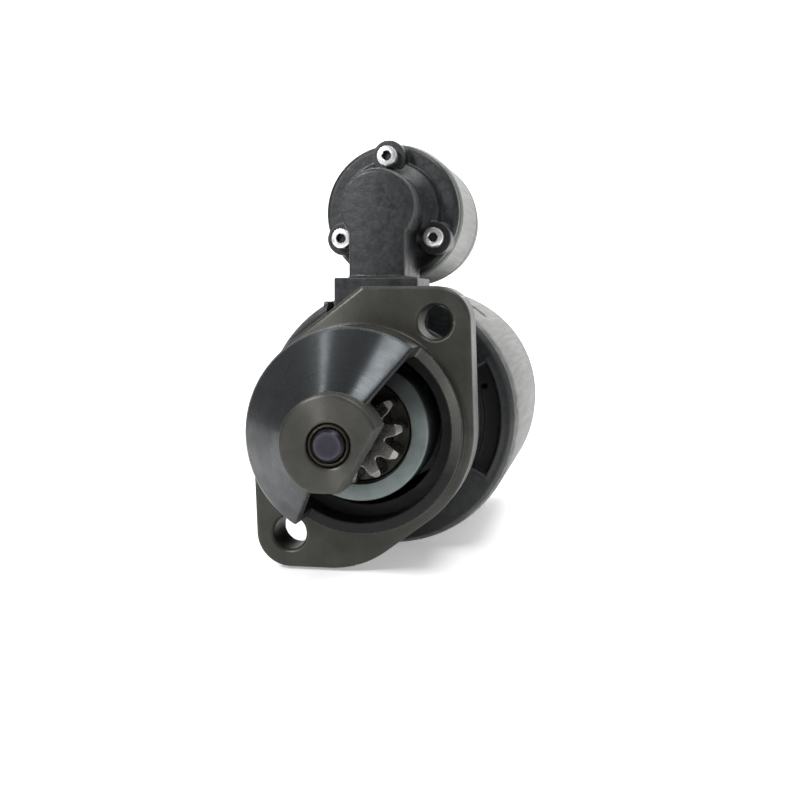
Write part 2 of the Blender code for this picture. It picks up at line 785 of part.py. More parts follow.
def dust_cap():
    cap = turned(
        [
            (0, 0.1960),
            (0.0115, 0.1960),
            (0.0125, 0.1950),
            (0.0125, 0.1920),
            (0.0230, 0.1920),
            (0.0230, END_CAP_BACK + GAP),
            (0.0105, END_CAP_BACK + GAP),
            (0.0105, 0.1945),
            (0, 0.1945),
        ]
    )
    return cut(cap, *[rod(0.0021, (0, 0.18, z), (0, 0.2, z)) for z in (0.0185, -0.0185)])


def dust_cap_screw(z):
    profile = [(0, 0.1940), (0.0022, 0.1940), (0.0034, 0.1930), (0.0034, 0.1923), (0.0018, 0.1923)]
    screw = turned(profile + [(0.0018, 0.1862), (0, 0.1862)], SMALL_TURN)
    slot = box((-0.0045, 0.1933, -0.0004), (0.0045, 0.2, 0.0004))
    return moved(cut(screw, slot), Matrix.Translation((0, 0, z)))


def through_bolt(side):
    shank = rod(BOLT_RADIUS, (0, BOLT_TIP, 0), (0, 0.192, 0))
    head = rod(0.0057, (0, END_CAP_BACK + GAP, 0), (0, 0.1945, 0), 6)
    return moved(join(shank, head), Matrix.Translation((side * BOLT_CIRCLE, 0, 0)))


def brush_plate():
    plate = ring(0.020, 0.0425, BRUSH_PLATE_FRONT, BRUSH_PLATE_FRONT + 0.002)
    for angle in POLE_ANGLES:
        holder = box((-0.0078, 0.1475, 0.0215), (0.0078, BRUSH_PLATE_FRONT + 0.0005, 0.0412))
        inside = box((-0.0063, 0.1490, 0.0150), (0.0063, BRUSH_PLATE_FRONT - 0.0006, 0.0398))
        plate = join(plate, moved(cut(holder, inside), about_shaft(angle)))
    return plate


def brush(angle):
    block = box((-0.0060, 0.1493, COMMUTATOR_RADIUS + GAP), (0.0060, 0.1615, 0.0300))
    return moved(block, about_shaft(angle))


def brush_spring(angle):
    stand = Matrix.Translation((0, 0.1554, 0)) @ Matrix.Rotation(math.radians(90), 4, "X")
    return moved(coil(0.0038, 0.0005, 3.5, 0.0303, 0.0395, stand), about_shaft(angle))


# Solenoid


def solenoid_case():
    case = turned(
        [
            (SOLENOID_RADIUS, CASE_BACK),
            (SOLENOID_RADIUS, CASE_FRONT),
            (PLUNGER_RADIUS + 0.0008, CASE_FRONT),
            (PLUNGER_RADIUS + 0.0008, 0.0776),
            (0.0286, 0.0776),
            (0.0286, CASE_BACK),
        ],
        COARSE_TURN,
    )
    holes = [rod(0.0028, (x, 0.065, z), (x, 0.0768, z)) for x, z in lug_places()]
    return cut(lifted(case), *holes)


def solenoid_coil():
    return lifted(
        turned(
            [
                (0.0281, 0.1110),
                (0.0281, 0.1095),
                (0.0265, 0.1095),
                (0.0265, 0.0795),
                (0.0281, 0.0795),
                (0.0281, 0.0780),
                (0.0145, 0.0780),
                (0.0145, 0.1110),
            ]
        )
    )


def solenoid_core():
    profile = [(0.0281, 0.1185), (0.0281, 0.1115), (0.0122, 0.1115), (0.0122, 0.1010), (0.0030, 0.1010)]
    return lifted(turned(profile + [(0.0030, 0.1185)]))


def solenoid_cap():
    cap = lifted(
        turned(
            [
                (0, CAP_BACK),
                (0.0280, CAP_BACK),
                (0.0295, CAP_BACK - 0.0015),
                (0.0295, CASE_BACK + GAP),
                (0.0281, CASE_BACK + GAP),
                (0.0281, 0.1188),
                (0.0190, 0.1188),
                (0.0190, 0.1350),
                (0, 0.1350),
            ],
            COARSE_TURN,
        )
    )
    x, z = STUD_PLACE
    studs = [lifted(rod(STUD_RADIUS + GAP, (s * x, 0.13, s * z), (s * x, 0.15, s * z))) for s in (1, -1)]
    return cut(cap, *studs, lifted(rod(0.0028, (0.0225, 0.133, 0), (0.0225, 0.15, 0))))


def stud_terminal(side):
    stud = turned(
        [
            (0, STUD_END),
            (STUD_RADIUS - 0.001, STUD_END),
            (STUD_RADIUS, STUD_END - 0.001),
            (STUD_RADIUS, 0.1343),
            (0.0055, 0.1343),
            (0.0055, 0.1319),
            (0, 0.1319),
        ],
        SMALL_TURN,
    )
    nut = rod(0.0075, (0, NUT_FRONT, 0), (0, NUT_BACK, 0), 6)
    return moved(join(stud, nut), on_solenoid(side * STUD_PLACE[0], side * STUD_PLACE[1]))


def switch_terminal():
    stud = rod(0.0025, (0, 0.1335, 0), (0, 0.1555, 0))
    nut = rod(0.0046, (0, CAP_BACK + GAP, 0), (0, 0.1485, 0), 6)
    return moved(join(stud, nut), on_solenoid(0.0225))


def solenoid_screw(x, z):
    head_front = LUG_FRONT - 0.0048
    screw = turned(
        [
            (0, 0.0762),
            (0.0025, 0.0762),
            (0.0025, LUG_FRONT - GAP),
            (0.0044, LUG_FRONT - GAP),
            (0.0044, head_front + 0.0005),
            (0.0039, head_front),
            (0, head_front),
        ],
        SMALL_TURN,
    )
    recess = rod(0.0025, (0, head_front - 0.001, 0), (0, head_front + 0.0026, 0), 6)
    return moved(cut(screw, recess), Matrix.Translation((x, 0, z)))


def motor_strap():
    """A bent strip from the motor terminal, over a shelf and down into the motor."""
    thick = STRAP_THICKNESS
    front = CAP_BACK + GAP
    down = LEAD_HOLE_Y - thick / 2
    shelf = 0.0630
    foot = 0.0490
    x = -STUD_PLACE[0]
    eye_z = SOLENOID_HEIGHT - STUD_PLACE[1]
    top = eye_z + 0.002
    path = [(front, top), (front, shelf), (down, shelf), (down, foot), (down + thick, foot)]
    path += [(down + thick, shelf + thick), (front + thick, shelf + thick), (front + thick, top)]
    strap = prism(path, x - STRAP_HALF, x + STRAP_HALF, across="X")
    eye = rod(EYE_RADIUS, (x, front, eye_z), (x, front + thick, eye_z), MEDIUM_TURN)
    return cut(join(strap, eye), rod(STUD_RADIUS + GAP, (x, 0.14, eye_z), (x, 0.16, eye_z)))


def strap_grommet():
    profile = [(0, 0.0605), (0.0088, 0.0605), (0.0095, 0.0598), (0.0095, 0.0580), (0.0072, 0.0580)]
    grommet = upright(profile + [(0.0072, 0.0500), (0, 0.0500)], LEAD_HOLE_Y)
    half = STRAP_THICKNESS / 2 + GAP
    wide = STRAP_HALF + GAP
    slot = box((-wide, LEAD_HOLE_Y - half, 0.04), (wide, LEAD_HOLE_Y + half, 0.07))
    return moved(cut(grommet, slot), Matrix.Translation((-STUD_PLACE[0], 0, 0)))


def plunger():
    stem = turned(
        [
            (0, 0.0885),
            (PLUNGER_RADIUS, 0.0885),
            (PLUNGER_RADIUS, 0.0645),
            (0.006, 0.0645),
            (0.006, 0.048),
            (0.009, 0.048),
            (0.009, 0.0345),
            (0, 0.0345),
        ]
    )
    pocket = rod(0.0080, (0, 0.074, 0), (0, 0.095, 0))
    eye_y = PIVOT_Y - PLUNGER_STROKE / 2
    eye = box((-0.0045, eye_y - 0.004, -0.02), (0.0045, eye_y + 0.004, 0.02))
    return lifted(cut(stem, pocket, eye))


def contact_bridge():
    disc = rod(0.0170, (0, 0.1270, 0), (0, 0.1290, 0), MEDIUM_TURN)
    stem = rod(0.0025, (0, 0.1030, 0), (0, 0.1275, 0))
    return lifted(join(disc, stem))


def add_fixed_pieces(motor):
    motor.add("drive_end_bracket", drive_end_bracket(), "machined")
    motor.add("nose_bush", ring(NOSE_JOURNAL + FIT, NOSE_BUSH_RADIUS, BOSS_FRONT + GAP, -0.0375), "bronze")
    motor.add("lever_housing", lever_housing(), "black")
    pin_half = NECK_HALF - FIT
    pin = rod(PIN_RADIUS, (-pin_half, PIVOT_Y, PIVOT_Z), (pin_half, PIVOT_Y, PIVOT_Z))
    motor.add("lever_pivot_pin", pin, "bright")
    motor.add("centre_bearing_plate", centre_bearing_plate(), "steel")
    motor.add("yoke_tube", yoke_tube(), "pale")
    motor.add("commutator_end_cap", commutator_end_cap(), "black")
    motor.add("rear_bush", ring(0.006 + FIT, 0.0085, 0.1745, 0.1870), "bronze")
    motor.add("dust_cap", dust_cap(), "zinc")
    motor.add("brush_plate", brush_plate(), "steel")
    for number, angle in enumerate(POLE_ANGLES, 1):
        motor.add(f"pole_shoe_{number}", pole_shoe(angle), "steel")
        motor.add(f"field_coil_{number}", field_coil(angle), "copper")
        motor.add(f"pole_screw_{number}", pole_screw(angle), "bright")
        motor.add(f"brush_{number}", brush(angle), "carbon")
        motor.add(f"brush_spring_{number}", brush_spring(angle), "bright")
    for number, side in enumerate((1, -1), 1):
        motor.add(f"through_bolt_{number}", through_bolt(side), "bright")
        motor.add(f"dust_cap_screw_{number}", dust_cap_screw(side * 0.0185), "bright")


def add_solenoid(motor):
    motor.add("solenoid_case", solenoid_case(), "pale")
    motor.add("solenoid_coil", solenoid_coil(), "copper")
    motor.add("solenoid_core", solenoid_core(), "steel")
    motor.add("solenoid_cap", solenoid_cap(), "plastic")
    motor.add("battery_terminal", stud_terminal(1), "copper")
    motor.add("motor_terminal", stud_terminal(-1), "copper")
    motor.add("switch_terminal", switch_terminal(), "bright")
    motor.add("motor_strap", motor_strap(), "copper")
    motor.add("strap_grommet", strap_grommet(), "rubber")
    for number, (x, z) in enumerate(lug_places(), 1):
        motor.add(f"solenoid_screw_{number}", solenoid_screw(x, z), "bright")


def add_moving_pieces(motor):
    motor.body("armature")
    motor.add("armature_shaft", armature_shaft(), "steel", "armature")
    motor.add("armature_core", armature_core(), "steel", "armature")
    motor.add("commutator", commutator(), "copper", "armature")
    motor.add("stop_ring", ring(NOSE_JOURNAL + FIT, 0.0095, -0.0345, -0.0315), "steel", "armature")
    motor.body("drive", (0, GROOVE_Y, 0), "armature")
    motor.add("clutch_shell", clutch_shell(), "steel", "drive")
    motor.add("clutch_cover", clutch_cover(), "zinc", "drive")
    motor.add("guide_ring", guide_ring(), "steel", "drive")
    spring = coil(0.0146, 0.0011, 5, 0.0223, GROOVE_Y - GROOVE_HALF - 0.0025)
    motor.add("meshing_spring", spring, "bright", "drive")
    motor.body("pinion_drive", (0, PINION_FRONT, 0), "drive")
    motor.add("pinion", pinion(), "steel", "pinion_drive")
    motor.body("lever", (0, PIVOT_Y, PIVOT_Z))
    motor.add("shift_lever", shift_lever(), "steel", "lever")
    motor.body("plunger_group", (0, PIVOT_Y, SOLENOID_HEIGHT))
    motor.add("plunger", plunger(), "bright", "plunger_group")
    motor.add("return_spring", lifted(coil(0.0062, 0.0007, 5, 0.0743, 0.1007)), "bright", "plunger_group")
    motor.body("contact", (0, CASE_BACK, SOLENOID_HEIGHT))
    motor.add("contact_bridge", contact_bridge(), "copper", "contact")


def main():
    clear_scene()
    motor = Assembly()
    add_fixed_pieces(motor)
    add_solenoid(motor)
    add_moving_pieces(motor)


main()
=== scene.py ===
"""Looks for the starter motor: finely meshed pieces, materials, camera, floor and light.

Metres, in the CAD frame: the shaft lies along Y, the nose points to -Y and +Z is up.
A profile is a list of (radius, y) pairs that runs down the outer side from the rear to the
front, then back along the inner side where the piece is hollow.
"""

from math import asin, cos, degrees, hypot, pi, radians, sin

import bmesh
import bpy
from mathutils import Matrix, Vector


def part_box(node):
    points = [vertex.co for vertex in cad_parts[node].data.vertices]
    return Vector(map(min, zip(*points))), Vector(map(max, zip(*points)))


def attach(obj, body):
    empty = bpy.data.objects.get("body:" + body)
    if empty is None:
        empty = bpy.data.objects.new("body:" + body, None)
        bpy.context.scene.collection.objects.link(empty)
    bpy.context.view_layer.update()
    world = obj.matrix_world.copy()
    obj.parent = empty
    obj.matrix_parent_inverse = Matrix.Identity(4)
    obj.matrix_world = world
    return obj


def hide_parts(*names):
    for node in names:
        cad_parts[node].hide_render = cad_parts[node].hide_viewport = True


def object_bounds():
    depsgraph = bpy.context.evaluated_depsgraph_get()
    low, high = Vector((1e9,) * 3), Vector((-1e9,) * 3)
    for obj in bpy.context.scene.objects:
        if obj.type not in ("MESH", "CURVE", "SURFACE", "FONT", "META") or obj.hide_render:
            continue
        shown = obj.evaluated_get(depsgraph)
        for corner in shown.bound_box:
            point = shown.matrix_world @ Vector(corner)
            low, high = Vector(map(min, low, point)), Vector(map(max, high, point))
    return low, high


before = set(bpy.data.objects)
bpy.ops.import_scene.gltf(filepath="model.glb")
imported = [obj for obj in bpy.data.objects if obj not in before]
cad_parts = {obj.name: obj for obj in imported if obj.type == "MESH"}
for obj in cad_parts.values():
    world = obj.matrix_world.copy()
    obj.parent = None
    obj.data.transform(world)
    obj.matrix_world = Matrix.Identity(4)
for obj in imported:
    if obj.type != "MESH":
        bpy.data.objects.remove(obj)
cad_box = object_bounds()

# Facets of a full turn
FINE_TURN = 192
MEDIUM_TURN = 96
SMALL_TURN = 48

# Gap between touching pieces, as in the CAD
GAP = 0.0003

# Camera
CAMERA_PLACE = (0.0963, -0.4215, 0.0488)
CAMERA_YAW = radians(10.8)
CAMERA_PITCH = radians(4.9)
LENS = 49.5
SENSOR = 36


# Where the CAD pieces are


def front(node):
    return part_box(node)[0].y


def back(node):
    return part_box(node)[1].y


def ends(node):
    return front(node), back(node)


def radius_of(node):
    low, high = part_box(node)
    return (high.x - low.x) / 2


def middle(node):
    low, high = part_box(node)
    return (low + high) / 2


SOLENOID_HEIGHT = middle("solenoid_case").z
PILOT_RADIUS = 0.04125
NOSE_SHOULDER = -0.020
CONE_FRONT = -0.0445
CONE_FRONT_RADIUS = 0.0187
BOSS_RADIUS = 0.0182
BOSS_FRONT = front("drive_end_bracket")
BOSS_BACK = -0.036
FLANGE_BACK = back("drive_end_bracket")
FLANGE_ROUND = 0.045
FLANGE_TOUCH = radians(127)
LOW_CORNER_REACH = 0.013
BOLT_HOLE = (0.0295, 0.0425)
BOLT_HOLE_RADIUS = 0.0068
LOBE_RADIUS = 0.014
WINDOW_ANGLE = radians(34)
WINDOW_OFFSET = 0.002
RIM_FRONT = -0.004
BOSS_CUT_ANGLE = radians(30)
BOSS_CUT_OFFSET = 0.0118
BOSS_FLAT = -0.0171
PINION_ROOM_RADIUS = 0.0365
CLUTCH_ROOM_RADIUS = 0.031
NOSE_BUSH_RADIUS = radius_of("nose_bush")
NOSE_JOURNAL = 0.006
SPLINES = 10
PINION_TEETH = 11
PINION_TIP = 0.0194
PINION_PHASE = radians(6.5)
PINION_HUB_RADIUS = 0.0125
POLE_ANGLES = [radians(56.5 + 90 * i) for i in range(4)]
POLE_SCREW_Y = 0.106
YOKE_RADIUS = radius_of("yoke_tube")
HOUSING_FRONT = front("lever_housing")
SEAT_BACK = back("lever_housing")
HOUSING_BACK = front("yoke_tube") - GAP
FRONT_BODY_RADIUS = 0.0425
DISC_FRONT = 0.050
DISC_EDGE = [(0.0573, 0.0575), (0.0563, 0.0530), (0.0546, DISC_FRONT)]
TAB_LOW = (-0.0288, 0.0530, 0.0440)
TAB_HIGH = (-0.0265, 0.0606, 0.0508)
SLOT_LOW = (-0.0264, 0.0480, 0.0455)
SLOT_HIGH = (-0.0215, 0.0620, 0.0600)
CAVITY_RADIUS = 0.0395
CAVITY_FRONT = 0.028
NECK_HALF = 0.0178
NECK_TOP = 0.0605
NECK_FRONT = 0.0285
COLUMN_HALF = 0.0120
COLUMN_BACK = 0.070
DOME_RADIUS = 0.0160
DOME_FRONT = 0.030
CROWN_RADIUS = 0.090
SEAT_RADIUS = 0.030
SEAT_FRONT = 0.064
LUG_CIRCLE = 0.0235
LUG_RADIUS = 0.0073
LUG_FRONT = 0.0565
LUG_ANGLES = [radians(a) for a in (90, 210, 330)]
POCKET_RADIUS = 0.0505
POCKET_HALF_ANGLE = 29
POCKET_DEPTH = 0.003
POCKET_HOLE = (0.0429, 0.0141)
POCKET_HOLE_RADIUS = 0.0012
BOLT_HEAD_RADIUS = 0.0105
BOLT_CIRCLE = middle("through_bolt_1").x
CAP_RIBS = 8
DUST_SCREW_HEIGHT = 0.0185
DUST_SCREW_HOLE = 0.0021
STUD_HOLE = 0.0043
STRAP_THICKNESS = 0.0018
ROOM_FRONT = DOME_FRONT + 0.0035
ROOM_HALF = 0.0088
ROOM_BACK = 0.0660


# Shapes


def new_object(data, name="working"):
    obj = bpy.data.objects.new(name, data)
    bpy.context.scene.collection.objects.link(obj)
    return obj


def from_bmesh(bm):
    mesh = bpy.data.meshes.new("shape")
    bm.to_mesh(mesh)
    bm.free()
    return new_object(mesh)


def frozen(obj, face_out=False):
    """The same object with its modifiers, or its curve, turned into a plain mesh."""
    bpy.context.view_layer.update()
    depsgraph = bpy.context.evaluated_depsgraph_get()
    mesh = bpy.data.meshes.new_from_object(obj.evaluated_get(depsgraph))
    mesh.transform(obj.matrix_world)
    bpy.data.objects.remove(obj)
    bm = bmesh.new()
    bm.from_mesh(mesh)
    bmesh.ops.remove_doubles(bm, verts=bm.verts, dist=1e-6)
    if face_out:
        bmesh.ops.recalc_face_normals(bm, faces=bm.faces)
    bm.to_mesh(mesh)
    bm.free()
    return new_object(mesh)


def moved(obj, matrix):
    obj.data.transform(matrix)
    return obj


def placed(obj, x, z):
    return moved(obj, Matrix.Translation((x, 0, z)))


def lifted(obj):
    return placed(obj, 0, SOLENOID_HEIGHT)


def rounded_corner(before, corner, after, reach, steps):
    """Points on a curve that starts and ends at a distance of reach from a corner."""
    corner = Vector(corner)
    start = corner + (Vector(before) - corner).normalized() * reach
    end = corner + (Vector(after) - corner).normalized() * reach
    points = []
    for i in range(steps + 1):
        t = i / steps
        points.append(tuple(start * (1 - t) ** 2 + corner * 2 * t * (1 - t) + end * t**2))
    return points


def softened(points, reach, closed=True, steps=4):
    """The same outline with each corner rounded, starting at most reach away from it."""
    rounded = []
    count = len(points)
    for i, point in enumerate(points):
        corner = Vector(point)
        if not closed and i in (0, count - 1):
            rounded.append(tuple(corner))
            continue
        before = Vector(points[i - 1]) - corner
        after = Vector(points[(i + 1) % count]) - corner
        if before.angle(after) > radians(165):
            rounded.append(tuple(corner))
            continue
        room = min(reach, before.length * 0.45, after.length * 0.45)
        rounded += rounded_corner(points[i - 1], point, points[(i + 1) % count], room, steps)
    return rounded


def turned(profile, segments=FINE_TURN, reach=0.0):
    """A profile of (radius, y) pairs turned about the Y axis, with its corners rounded by reach."""
    hollow = profile[0][0] > 0
    if reach:
        profile = softened(profile, reach, closed=hollow)
    mesh = bpy.data.meshes.new("turned")
    corners = [(radius, 0, along) for radius, along in profile]
    edges = [(i, i + 1) for i in range(len(corners) - 1)]
    if hollow:
        edges.append((len(corners) - 1, 0))
    mesh.from_pydata(corners, edges, [])
    obj = new_object(mesh)
    screw = obj.modifiers.new("turn", "SCREW")
    screw.steps = segments
    screw.render_steps = segments
    screw.use_merge_vertices = True
    screw.merge_threshold = 1e-7
    obj.matrix_world = Matrix.Rotation(radians(-90), 4, "X")
    return frozen(obj)


def rod(radius, start, end, segments=SMALL_TURN):
    """A cylinder between two points."""
    start = Vector(start)
    axis = Vector(end) - start
    turn = axis.to_track_quat("Z", "Y").to_matrix().to_4x4()
    placing = Matrix.Translation(start + axis / 2) @ turn
    sizes = {"segments": segments, "radius1": radius, "radius2": radius, "depth": axis.length}
    bm = bmesh.new()
    bmesh.ops.create_cone(bm, cap_ends=True, matrix=placing, **sizes)
    return from_bmesh(bm)


def box(low, high):
    size = Vector(high) - Vector(low)
    centre = (Vector(high) + Vector(low)) / 2
    bm = bmesh.new()
    placing = Matrix.Translation(centre) @ Matrix.Diagonal((*size, 1))
    bmesh.ops.create_cube(bm, size=1, matrix=placing)
    return from_bmesh(bm)


def prism(outline, low, high, across="Y", edge=0.0):
    """A flat outline drawn in XZ (across Y) or in YZ (across X), thickened from low to high.

    Its rims are rounded by edge.
    """
    curve = bpy.data.curves.new("outline", "CURVE")
    curve.dimensions = "2D"
    curve.fill_mode = "BOTH"
    curve.extrude = (high - low) / 2 - edge
    if edge:
        curve.bevel_depth = edge
        curve.bevel_resolution = 3
        curve.offset = -edge
    spline = curve.splines.new("POLY")
    spline.points.add(len(outline) - 1)
    for point, (u, v) in zip(spline.points, outline):
        point.co = (u, v, 0, 1)
    spline.use_cyclic_u = True
    obj = new_object(curve)
    centre = (high + low) / 2
    if across == "Y":
        obj.matrix_world = Matrix.Translation((0, centre, 0)) @ Matrix.Rotation(radians(90), 4, "X")
    else:
        obj.matrix_world = Matrix(((0, 0, 1, centre), (1, 0, 0, 0), (0, 1, 0, 0), (0, 0, 0, 1)))
    return frozen(obj, face_out=True)


def coil(radius, wire, turns, start, end):
    """A helical spring about the Y axis, with closed flat end turns."""
    per_turn = 24
    count = int((turns + 2) * per_turn)
    curve = bpy.data.curves.new("coil", "CURVE")
    curve.dimensions = "3D"
    curve.bevel_depth = wire
    curve.bevel_resolution = 4
    curve.use_fill_caps = True
    spline = curve.splines.new("POLY")
    spline.points.add(count)
    low = start + wire
    high = end - wire
    for i, point in enumerate(spline.points):
        angle = 2 * pi * i / per_turn
        rise = min(max(i / per_turn - 1, 0), turns) / turns
        along = low + (high - low) * rise
        along += 2 * wire * (min(i / per_turn, 1) - 1) * (1 if rise == 0 else 0)
        point.co = (radius * cos(angle), max(along, low), radius * sin(angle), 1)
    return frozen(new_object(curve))


def combined(target, tool, operation):
    change = target.modifiers.new("change", "BOOLEAN")
    change.operation = operation
    change.solver = "EXACT"
    change.object = tool
    result = frozen(target)
    bpy.data.objects.remove(tool)
    return result


def cut(target, *tools):
    for tool in tools:
        target = combined(target, tool, "DIFFERENCE")
    return target


def join(target, *tools):
    for tool in tools:
        target = combined(target, tool, "UNION")
    return target


def melted(obj, grain, passes):
    """One smooth skin of small faces, whose corners and joins are rounded as in a casting."""
    remesh = obj.modifiers.new("skin", "REMESH")
    remesh.mode = "VOXEL"
    remesh.voxel_size = grain
    smooth = obj.modifiers.new("round", "SMOOTH")
    smooth.factor = 0.5
    smooth.iterations = passes
    return frozen(obj)


def bevelled(obj, width, segments=2, angle=32):
    bevel = obj.modifiers.new("bevel", "BEVEL")
    bevel.width = width
    bevel.segments = segments
    bevel.limit_method = "ANGLE"
    bevel.angle_limit = radians(angle)
    return frozen(obj)


def arc(centre, radius, start, end, steps):
    """Points on an arc, angles in degrees."""
    points = []
    for i in range(steps + 1):
        angle = radians(start + (end - start) * i / steps)
        points.append((centre[0] + radius * cos(angle), centre[1] + radius * sin(angle)))
    return points


def spun(obj, angle):
    """Turned about the shaft's axis by an angle in degrees."""
    return moved(obj, Matrix.Rotation(radians(angle), 4, "Y"))


def about_shaft(angle):
    """Turns a piece drawn above the shaft, on +Z, to an angle measured from +X."""
    return Matrix.Rotation(radians(90) - angle, 4, "Y")


def upright(profile, y, segments=SMALL_TURN, reach=0.0):
    """A profile of (radius, z) pairs turned about a vertical line above the shaft."""
    standing = turned(profile, segments, reach)
    return moved(standing, Matrix.Translation((0, y, 0)) @ Matrix.Rotation(radians(90), 4, "X"))


def hexagon(half_width, low, high, chamfer=0.0006):
    """A hexagonal nut or bolt head across Y, its corners cut to a cone at both ends."""
    outer = half_width / cos(radians(30))
    flats = prism(arc((0, 0), outer, 0, 300, 5), low, high)
    barrel = turned(
        [(0, high), (half_width, high), (outer + 0.0002, high - chamfer),
         (outer + 0.0002, low + chamfer), (half_width, low), (0, low)],
        MEDIUM_TURN,
    )
    return combined(flats, barrel, "INTERSECT")


def facing(centre, normal):
    """How far a face is from the shaft's axis, and how much it looks away from it."""
    distance = hypot(centre.x, centre.z)
    return distance, (normal.x * centre.x + normal.z * centre.z) / max(distance, 1e-6)


def show(obj, name, node, looks, body="housing", angle=32, rule=None):
    """Names a finished piece, hides the CAD node it stands for and lets it ride on its body.

    Where rule is given, it takes a face's centre
    and normal and returns the number of its look.
    """
    piece = new_object(obj.data, name)
    bpy.data.objects.remove(obj)
    piece.data.name = name
    looks = (looks,) if isinstance(looks, str) else looks
    piece.data.materials.clear()
    for look in looks:
        piece.data.materials.append(LOOKS[look])
    if rule:
        for face in piece.data.polygons:
            face.material_index = rule(face.center, face.normal)
    piece.data.shade_smooth()
    if angle:
        piece.data.set_sharp_from_angle(angle=radians(angle))
    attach(piece, body)
    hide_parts(node)


# Materials


class Paint:
    """Builds one material, node by node, around its Principled shader."""

    def __init__(self, name, colour, roughness, metallic, **constants):
        self.material = bpy.data.materials.new(name)
        self.material.use_nodes = True
        self.tree = self.material.node_tree
        self.shader = self.tree.nodes["Principled BSDF"]
        self.shader.inputs["Base Color"].default_value = (*colour, 1)
        self.shader.inputs["Roughness"].default_value = roughness
        self.shader.inputs["Metallic"].default_value = metallic
        for socket, value in constants.items():
            self.shader.inputs[socket.replace("_", " ")].default_value = value
        self.place = self.node("ShaderNodeTexCoord").outputs["Object"]

    def node(self, kind, inputs=(), **settings):
        made = self.tree.nodes.new(kind)
        for key, value in settings.items():
            setattr(made, key, value)
        for key, value in dict(inputs).items():
            socket = made.inputs[key]
            if isinstance(value, bpy.types.NodeSocket):
                self.tree.links.new(value, socket)
            else:
                socket.default_value = value
        return made

    def noise(self, scale, detail=4.0, roughness=0.6, stretch=(1, 1, 1), distortion=0.0):
        """Noise from about 0 to 1, its features stretched along the axes."""
        spread = self.node("ShaderNodeMapping", {"Vector": self.place, "Scale": stretch}).outputs[0]
        inputs = {"Vector": spread, "Scale": scale, "Detail": detail, "Roughness": roughness}
        inputs["Distortion"] = distortion
        return self.node("ShaderNodeTexNoise", inputs).outputs[0]

    def distance(self):
        """How far a point is from the shaft's axis."""
        flat = self.node("ShaderNodeVectorMath", {0: self.place, 1: (1, 0, 1)}, operation="MULTIPLY")
        return self.node("ShaderNodeVectorMath", {0: flat.outputs[0]}, operation="LENGTH").outputs["Value"]

    def rings(self, value, scale, detail=3.0):
        """One-dimensional noise along a value: turning marks, when the value is a radius."""
        inputs = {"W": value, "Scale": scale, "Detail": detail, "Roughness": 0.7}
        return self.node("ShaderNodeTexNoise", inputs, noise_dimensions="1D").outputs[0]

    def ramp(self, value, *stops):
        """Maps a value through (position, grey or colour) stops."""
        made = self.node("ShaderNodeValToRGB", {"Fac": value})
        elements = made.color_ramp.elements
        while len(elements) < len(stops):
            elements.new(0.5)
        for element, (position, shade) in zip(elements, stops):
            element.position = position
            element.color = (*shade, 1) if isinstance(shade, tuple) else (shade, shade, shade, 1)
        return made.outputs[0]

    def mix(self, factor, first, second):
        """Goes from the first to the second, each a colour or a socket."""
        inputs = {"Factor": factor}
        for index, value in ((6, first), (7, second)):
            inputs[index] = (*value, 1) if isinstance(value, tuple) else value
        return self.node("ShaderNodeMix", inputs, data_type="RGBA").outputs[2]

    def math(self, operation, first, second, clamp=False):
        inputs = {0: first, 1: second}
        return self.node("ShaderNodeMath", inputs, operation=operation, use_clamp=clamp).outputs[0]

    def part(self, factor, share, first, second):
        """Mixes in the second colour by a share of the factor."""
        return self.mix(self.math("MULTIPLY", factor, share), first, second)

    def patchy(self, noise, low, high, first, second):
        """Goes from the first colour to the second where the noise rises from low to high."""
        return self.mix(self.ramp(noise, (low, 0.0), (high, 1.0)), first, second)

    def edge_highlight(self, colour, share, light, low=0.52, high=0.60):
        """Mixes in a lighter shade along raised edges: a painted edge highlight."""
        pointed = self.node("ShaderNodeNewGeometry").outputs["Pointiness"]
        return self.part(self.ramp(pointed, (low, 0.0), (high, 1.0)), share, colour, light)

    def bump(self, height, strength, distance=0.0002, after=None):
        inputs = {"Height": height, "Strength": strength, "Distance": distance}
        if after:
            inputs["Normal"] = after
        return self.node("ShaderNodeBump", inputs).outputs[0]

    def finish(self, colour=None, roughness=None, normal=None, tangent=None):
        links = (("Base Color", colour), ("Roughness", roughness), ("Normal", normal), ("Tangent", tangent))
        for socket, value in links:
            if value is not None:
                self.tree.links.new(value, self.shader.inputs[socket])
        return self.material


def ground_iron(name, faced=False):
    """Dull grey cut iron; a faced surface was turned, so its fine rings spread highlights into a fan."""
    brushed = {"Anisotropic": 0.8 * faced, "Anisotropic_Rotation": 0.25}
    paint = Paint(name, (0.05, 0.049, 0.044), 0.45, 0.75, **brushed)
    patches = paint.noise(60, 5, 0.65)
    specks = paint.noise(900, 3, 0.7)
    marks = paint.rings(paint.distance(), 1400)
    colour = paint.patchy(patches, 0.35, 0.68, (0.038, 0.038, 0.034), (0.060, 0.059, 0.052))
    colour = paint.part(specks, 0.35, colour, (0.030, 0.028, 0.025))
    # Painted highlight: a lighter shade along raised edges.
    colour = paint.edge_highlight(colour, 0.8, (0.26, 0.25, 0.23), 0.54, 0.66)
    normal = paint.bump(specks, 0.25, 0.0001)
    if not faced:
        return paint.finish(colour, paint.ramp(patches, (0.3, 0.38), (0.7, 0.54)), normal)
    normal = paint.bump(marks, 0.25, 0.00005, normal)
    tangent = paint.node("ShaderNodeTangent", direction_type="RADIAL", axis="Y").outputs[0]
    return paint.finish(colour, paint.ramp(marks, (0.3, 0.36), (0.7, 0.46)), normal, tangent)


